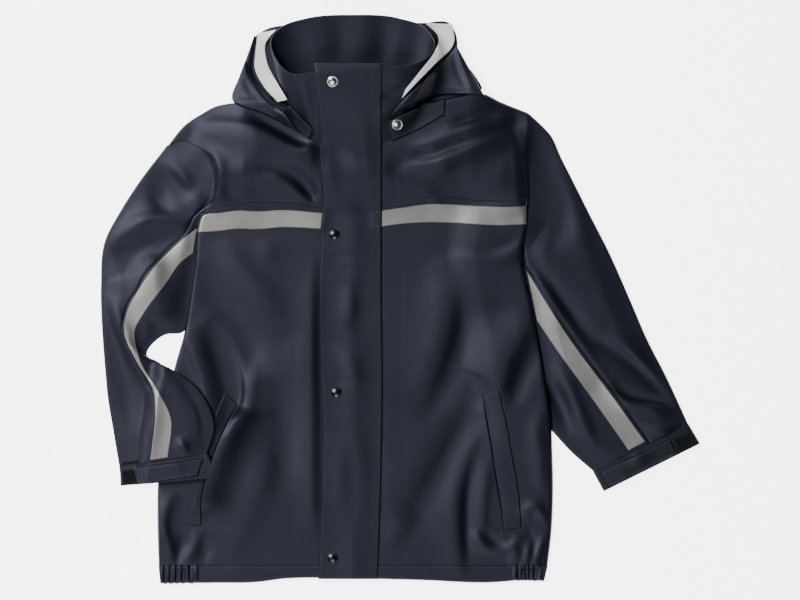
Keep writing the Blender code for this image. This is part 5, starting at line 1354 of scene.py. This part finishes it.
def make_lining_material():
    """White knit lining: fine ribs of the knit, faint shadows in them, and a matt face."""
    material, tree, shader = new_material("white_knit_lining", {
        "Roughness": 0.75, "Sheen Weight": 0.3})
    place = on_object(tree)
    ribs = add_node(tree, "ShaderNodeTexWave", {
        "Vector": place, "Scale": 420.0, "Distortion": 1.5, "Detail Scale": 3.0}).outputs["Fac"]
    mixed = joined(tree, "ADD", joined(tree, "MULTIPLY", ribs, 0.3), noise(tree, place, 45.0, 3.0))
    tone = blend_of(tree, mixed, (0.60, 0.61, 0.63), (0.84, 0.84, 0.83))
    tree.links.new(tone, shader["Base Color"])
    raise_grain(tree, shader, ribs, 0.35, 0.0004)
    return material


LINING = make_lining_material()
for side, edges, band in (("right", HOOD_SIDE_RIGHT, BAND_RIGHT),
                          ("left", HOOD_SIDE_LEFT, BAND_LEFT)):
    under = [f"yoke_{side}_cloth", "collar_cloth", "hood_folded_cloth", "back_panel",
             f"hood_strap_{side}", f"sleeve_{side}_outer_cloth", *BESIDE_NECK[side]]
    piece = lay(f"hood_side_{side}_cloth", strip_plan(edges, 1.8), under, DOUBLED,
                reach=3.0, times=40, relief=hood_relief)
    dress(piece, f"hood_side_{side}", NAVY_CLOTH, NAVY, *cut_of(piece, 1.01), held="folded",
          rests_on=["hood_folded_cloth", f"yoke_{side}_cloth"])
    under.append(f"hood_side_{side}_cloth")
    piece = lay(f"hood_band_{side}_lining", strip_plan(band, 1.8), under, 1.0,
                reach=2.0, times=40, relief=band_relief)
    dress(piece, f"hood_trim_{side}", LINING, "white_hood_lining", *cut_of(piece, 1.01),
          held="folded", rests_on=["hood_folded_cloth"])


# ---- Cuff tabs ----
# A doubled tab of the cloth runs over each cuff and draws it in; its end is held by hook-and-loop,
# whose woven square of loops is stitched to the cuff's outer end.
TAB_RIGHT = [[(-288, -184), (-251, -178.5), (-214, -173)],
             [(-285, -202), (-256, -197.5), (-220, -192)]]
TAB_LEFT = [[(220, -188), (256, -171), (294, -152.5)], [(228.5, -204), (264, -186.5), (301.5, -168)]]
LOOPS_RIGHT = [[(-303.5, -187), (-290, -185.5)], [(-302, -201.5), (-287, -201.5)]]
LOOPS_LEFT = [[(296, -153), (314, -145)], [(303.5, -167), (321, -158)]]
PILE_SIZES = {"Loops per Square Metre": 1800000.0, "Loop Height": 0.0007,
              "Thread Thickness": 0.00007}
TAB_FOLDS = [
    [(150, 463, 4, 5, 0), (166, 466, 4, 5, 0.8), (184, 461, 4, 5, 0)],
    [(160, 476, 4, 4, 0), (180, 473, 4, 4, -0.6), (196, 470, 4, 4, 0)],
    [(612, 470, 4, 5, 0), (634, 462, 4, 5, 0.8), (656, 450, 4, 5, 0)],
    [(624, 474, 4, 4, 0), (644, 466, 4, 4, -0.6), (662, 455, 4, 4, 0)],
]


def make_loop_material():
    """Black nylon loops: dark, matt and fuzzy, lighter in random flecks."""
    material, tree, shader = new_material("black_hook_and_loop", {
        "Roughness": 0.85, "Specular IOR Level": 0.12, "Sheen Weight": 0.02, "Sheen Roughness": 0.6})
    fuzz = noise(tree, on_object(tree), 1500.0, 3.0)
    tone = blend_of(tree, fuzz, (0.002, 0.002, 0.003), (0.016, 0.017, 0.022), 0.35, 0.7)
    tree.links.new(tone, shader["Base Color"])
    raise_grain(tree, shader, fuzz, 0.8, 0.0006)
    return material


def growing_tree(name, inputs):
    """Start a Geometry Nodes tree with named number inputs: the tree and its input sockets."""
    tree = bpy.data.node_groups.new(name, "GeometryNodeTree")
    tree.interface.new_socket("Geometry", in_out="INPUT", socket_type="NodeSocketGeometry")
    for label, value in inputs.items():
        socket = tree.interface.new_socket(label, in_out="INPUT", socket_type="NodeSocketFloat")
        socket.default_value = value
    tree.interface.new_socket("Geometry", in_out="OUTPUT", socket_type="NodeSocketGeometry")
    return tree, tree.nodes.new("NodeGroupInput").outputs


def finish_growing(tree, points, shape, rotation, material):
    """Put a shape on each point, make the copies real and give them their material."""
    place = add_node(tree, "GeometryNodeInstanceOnPoints", {
        "Points": points, "Instance": shape, "Rotation": rotation})
    real = add_node(tree, "GeometryNodeRealizeInstances", {"Geometry": place.outputs["Instances"]})
    finish = add_node(tree, "GeometryNodeSetMaterial", {
        "Geometry": real.outputs["Geometry"], "Material": material})
    tree.links.new(finish.outputs["Geometry"], tree.nodes.new("NodeGroupOutput").inputs["Geometry"])
    return tree


def pile_tree(material):
    """Geometry Nodes: little bent loops of thread, scattered upright over a face."""
    tree, given = growing_tree("loop_pile", PILE_SIZES)
    spread = add_node(tree, "GeometryNodeDistributePointsOnFaces", {
        "Seed": 11, "Mesh": given["Geometry"], "Density": given["Loops per Square Metre"]})
    arch = add_node(tree, "GeometryNodeCurveArc", {
        "Resolution": 5, "Sweep Angle": np.radians(200), "Start Angle": np.radians(-10),
        "Radius": given["Loop Height"]})
    upright = add_node(tree, "GeometryNodeTransform", {
        "Rotation": (np.radians(90), 0, 0), "Geometry": arch.outputs["Curve"]})
    round_thread = add_node(tree, "GeometryNodeCurvePrimitiveCircle", {
        "Resolution": 3, "Radius": given["Thread Thickness"]})
    thread = add_node(tree, "GeometryNodeCurveToMesh", {
        "Fill Caps": True, "Curve": upright.outputs["Geometry"],
        "Profile Curve": round_thread.outputs["Curve"]})
    turn = add_node(tree, "FunctionNodeRandomValue", {
        "Min": (-0.5, -0.5, 0), "Max": (0.5, 0.5, 6.28), "Seed": 4}, data_type="FLOAT_VECTOR")
    return finish_growing(tree, spread.outputs["Points"], thread.outputs["Mesh"],
                          turn.outputs["Value"], material)


def grown(name, source, tree, sizes):
    """Run a Geometry Nodes tree on a mesh with its sizes and keep what it makes as a plain piece."""
    holder = placed(bpy.data.objects.new(f"{name}_source", source))
    modifier = holder.modifiers.new("grow", "NODES")
    modifier.node_group = tree
    for socket in tree.interface.items_tree:
        if socket.in_out == "INPUT" and socket.name in sizes:
            modifier[socket.identifier] = sizes[socket.name]
    shape = holder.evaluated_get(bpy.context.evaluated_depsgraph_get())
    mesh = bpy.data.meshes.new_from_object(shape)
    mesh.name = name
    bpy.data.objects.remove(holder, do_unlink=True)
    piece = placed(bpy.data.objects.new(name, mesh))
    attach(piece, "root")


def face_of(piece, name):
    """A copy of the upper face of a laid piece, to grow something on."""
    mesh = piece.data.copy()
    mesh.name = name
    body = bmesh.new()
    body.from_mesh(mesh)
    body.normal_update()
    low = [face for face in body.faces if face.normal.z < 0.7]
    bmesh.ops.delete(body, geom=low, context="FACES")
    body.to_mesh(mesh)
    body.free()
    return mesh


LOOPS = make_loop_material()
PILE = pile_tree(LOOPS)
for side, tab, loops in (("right", TAB_RIGHT, LOOPS_RIGHT), ("left", TAB_LEFT, LOOPS_LEFT)):
    cuff = [f"cuff_{side}_band", f"sleeve_{side}_outer_cloth", f"sleeve_{side}_inner_cloth"]
    piece = lay(f"cuff_tab_{side}_cloth", strip_plan(tab, 1.5), cuff, DOUBLED, reach=2.0, times=16,
                relief=small_folds(TAB_FOLDS))
    dress(piece, f"cuff_tab_{side}", NAVY_CLOTH, NAVY, *cut_of(piece, 1.01), rests_on=cuff[:1])
    patch = lay(f"cuff_loops_{side}_base", strip_plan(loops, 1.2), cuff, 0.9, reach=1.0, times=8)
    grown(f"cuff_loops_{side}_pile", face_of(patch, "loop_face"), PILE, PILE_SIZES)
    dress(patch, f"cuff_hook_loop_{side}", LOOPS, "hook_and_loop", *cut_of(patch, 1.01),
          rests_on=cuff[:1])


# ---- Snaps ----
# Five pressed caps: four close the placket and one holds the hood's strap. The two at the neck are
# bare silvery metal, the others are lacquered navy. Each is riveted through the cloth.
SNAPS = [("collar", -73, 235, True), ("chest", -71, 70, False), ("waist", -69, -102, False),
         ("hem", -73, -282, False), ("hood", -3, 189, True)]
SNAP_RADIUS = 6.0
SNAP_SUNK = 0.15
# Profile of a cap, from its lower rim over its rolled edge and dome: share of radius, height in mm
SNAP_PROFILE = [(0.0, 0.0), (0.90, 0.0), (0.97, 0.10), (1.0, 0.42), (0.985, 0.72), (0.94, 0.92),
                (0.885, 0.97), (0.84, 0.90), (0.81, 0.86), (0.77, 0.96), (0.66, 1.28), (0.52, 1.58),
                (0.36, 1.80), (0.18, 1.92), (0.0, 1.96)]


def metal_finish(name, tone, rough, metallic):
    """Pressed metal or lacquer with fine handling scratches and a little dullness in patches."""
    material, tree, shader = new_material(name, {"Metallic": metallic})
    place = on_object(tree)
    cloud = noise(tree, place, 400.0, 4.0)
    dark, light = ([c * share for c in tone] for share in (0.75, 1.2))
    tree.links.new(blend_of(tree, cloud, dark, light), shader["Base Color"])
    dullness = joined(tree, "ADD", joined(tree, "MULTIPLY", cloud, 0.2), rough)
    tree.links.new(dullness, shader["Roughness"])
    raise_grain(tree, shader, noise(tree, place, 2500.0), 0.15, 0.0001)
    return material


def make_snap(name, x, y, tree):
    """A cap of rings on its profile, tilted with the cloth that it is riveted to."""
    turn = np.linspace(0, 2 * np.pi, 41)[:-1]
    ring = np.column_stack([np.cos(turn), np.sin(turn)])
    spots = np.array([x, y]) + SNAP_RADIUS * np.array([[1.0], [0.6], [0.0]])[..., None] * ring[None]
    away = spots.reshape(-1, 2) - [x, y]
    slope_x, slope_y, seat = np.linalg.lstsq(np.column_stack([away, np.ones(len(away))]),
                                             lying_on(spots, tree).ravel(), rcond=None)[0]
    foot = seat - SNAP_SUNK
    points = []
    for share, height in SNAP_PROFILE[1:-1]:
        across = SNAP_RADIUS * share * ring
        level = foot + across @ [slope_x, slope_y] + height
        points.append(np.column_stack([x + across[:, 0], y + across[:, 1], level]))
    count, levels = len(turn), len(points)
    points = np.concatenate([*points, [[x, y, foot + SNAP_PROFILE[-1][1]]]])
    top = (levels - 1) * count
    faces = ring_faces(levels, count)
    faces += [[top + k, top + (k + 1) % count, levels * count] for k in range(count)]
    faces.append(list(range(count))[::-1])
    return new_piece(name, points, faces, points[:, :2], closed=True)


BARE_METAL = metal_finish("bare_snap_metal", (0.52, 0.52, 0.50), 0.15, 1.0)
LACQUER = metal_finish("navy_snap_lacquer", (0.003, 0.0035, 0.006), 0.12, 0.0)
snap_tree = tree_over("placket_cloth", "hood_strap_left")
for place, x, y, bare in SNAPS:
    piece = make_snap(f"snap_{place}_cap", x, y, snap_tree)
    finish = (BARE_METAL, "bare_snap") if bare else (LACQUER, "navy_snap")
    dress(piece, f"snap_{place}", *finish)


# ---- Stitching ----
# Lockstitch in navy polyester thread holds the yokes, hem, placket, welts, cuffs, tabs and strap; a
# grey thread holds the tapes. Each stitch lies half sunk in the soft coating.
STITCH_SIZES = {"Pitch": 2.7 * MM, "Stitch Length": 2.1 * MM, "Thread Width": 0.5 * MM}
STITCH_LIFT = 0.00006      # a row's height over the cloth, in metres


def stitch_tree(material):
    """Geometry Nodes: one rounded stitch after another along rows, lying flat on the cloth."""
    tree, given = growing_tree("stitch_rows", STITCH_SIZES)
    rows = add_node(tree, "GeometryNodeMeshToCurve", {"Mesh": given["Geometry"]})
    evenly = add_node(tree, "GeometryNodeResampleCurve", {
        "Curve": rows.outputs["Curve"], "Length": given["Pitch"]}, mode="LENGTH")
    bead = add_node(tree, "GeometryNodeMeshUVSphere", {"Segments": 6, "Rings": 5, "Radius": 0.5})
    size = add_node(tree, "ShaderNodeCombineXYZ", {
        "X": given["Stitch Length"], "Y": given["Thread Width"], "Z": given["Thread Width"]})
    stitch = add_node(tree, "GeometryNodeTransform", {
        "Geometry": bead.outputs["Mesh"], "Scale": size.outputs["Vector"]})
    lie = add_node(tree, "GeometryNodeInputNamedAttribute", {"Name": "lie"},
                   data_type="FLOAT_VECTOR")
    lengthwise = add_node(tree, "FunctionNodeAlignRotationToVector", {
        "Vector": add_node(tree, "GeometryNodeInputTangent").outputs["Tangent"]}, axis="X")
    flat = add_node(tree, "FunctionNodeAlignRotationToVector", {
        "Rotation": lengthwise.outputs["Rotation"], "Vector": lie.outputs["Attribute"]},
        axis="Z", pivot_axis="X")
    return finish_growing(tree, evenly.outputs["Curve"], stitch.outputs["Geometry"],
                          flat.outputs["Rotation"], material)


def thread_material(name, tone):
    """Twisted polyester thread: a fine diagonal ply, its grooves darkened with painted shade, and a
    soft sheen.
    """
    material, tree, shader = new_material(name, {"Roughness": 0.5, "Sheen Weight": 0.2})
    ply = add_node(tree, "ShaderNodeTexWave", {"Scale": 900.0, "Vector": on_object(tree)},
                   bands_direction="DIAGONAL")
    # The ply's darker bands are painted shade in the grooves between the strands.
    colour = blend_of(tree, ply.outputs["Fac"], [c * 0.6 for c in tone], tone)
    tree.links.new(colour, shader["Base Color"])
    return material


def rows_on_cloth(name, lines, under):
    """Rows of a line mesh lying on finished pieces, each point told which way the cloth faces."""
    tree = tree_over(*under)
    corners, edges, lie = [], [], []
    for line in lines:
        line = np.array(line, float)
        path = along(line, np.linspace(0, 1, max(3, int(run_of(line) / 1.3))))
        found = [spot for spot in (below(tree, x, y) for x, y in path) if spot[0] is not None]
        if len(found) < 3:
            continue
        first = len(corners)
        corners += [spot + normal * STITCH_LIFT for spot, normal in found]
        lie += [tuple(normal) for _, normal in found]
        edges += [(first + k, first + k + 1) for k in range(len(found) - 1)]
    mesh = bpy.data.meshes.new(name)
    mesh.from_pydata(corners, edges, [])
    mesh.attributes.new("lie", "FLOAT_VECTOR", "POINT").data.foreach_set("vector", np.ravel(lie))
    return mesh


def edge_rows(name, column=3, ends=True):
    """Rows just inside the long edges of a laid strip, and across its ends."""
    plan = laid_plans[name]
    rows = [plan[2:-2, column], plan[2:-2, -1 - column]]
    return rows + ([plan[3, column:-column], plan[-4, column:-column]] if ends else [])


placket_plan = laid_plans["placket_cloth"]
across_placket = np.linalg.norm(placket_plan[100] - placket_plan[100, -1], axis=1)
second_row = int(np.argmin(np.abs(across_placket - 8.7)))
navy_rows = [set_in(YOKE_SEAM_RIGHT, -2.2), set_in(YOKE_SEAM_LEFT, -2.2),
             [(-260, -292.4), (-160, -292.4), (-90, -292.4)],
             [(-19, -292.4), (70, -292.4), (158, -292.4)],
             placket_plan[2:-2, -4], placket_plan[2:-2, second_row], placket_plan[2:-2, 4],
             set_in([(-305.5, -182.6), (-208.5, -168.6)], 2.4),
             set_in([(212, -187.6), (312.5, -137)], 2.4)]
for strip in ("pocket_welt_right_strip", "pocket_welt_left_strip", "cuff_tab_right_cloth",
              "cuff_tab_left_cloth", "cuff_loops_right_base", "cuff_loops_left_base",
              "hood_strap_right", "hood_strap_left"):
    navy_rows += edge_rows(strip)
NAVY_THREAD = thread_material("navy_thread", (0.012, 0.014, 0.024))
GREY_THREAD = thread_material("grey_thread", (0.16, 0.16, 0.155))
tape_rows = []
for strip in ("chest_tape_right", "chest_tape_left", "sleeve_tape_right", "sleeve_tape_left"):
    tape_rows += edge_rows(f"{strip}_band", 2, ends=False)
top_pieces = [name for name in (piece.name for piece in bpy.context.scene.objects)
              if name.endswith(("_cloth", "_casing", "_band", "_strip", "_base")) or "strap" in name]
for name, lines, thread, slot in (("navy", navy_rows, NAVY_THREAD, NAVY),
                                  ("tape", tape_rows, GREY_THREAD, "reflective_tape")):
    rows = rows_on_cloth(f"{name}_stitch_rows", lines, top_pieces)
    grown(f"{name}_stitching", rows, stitch_tree(thread), STITCH_SIZES)
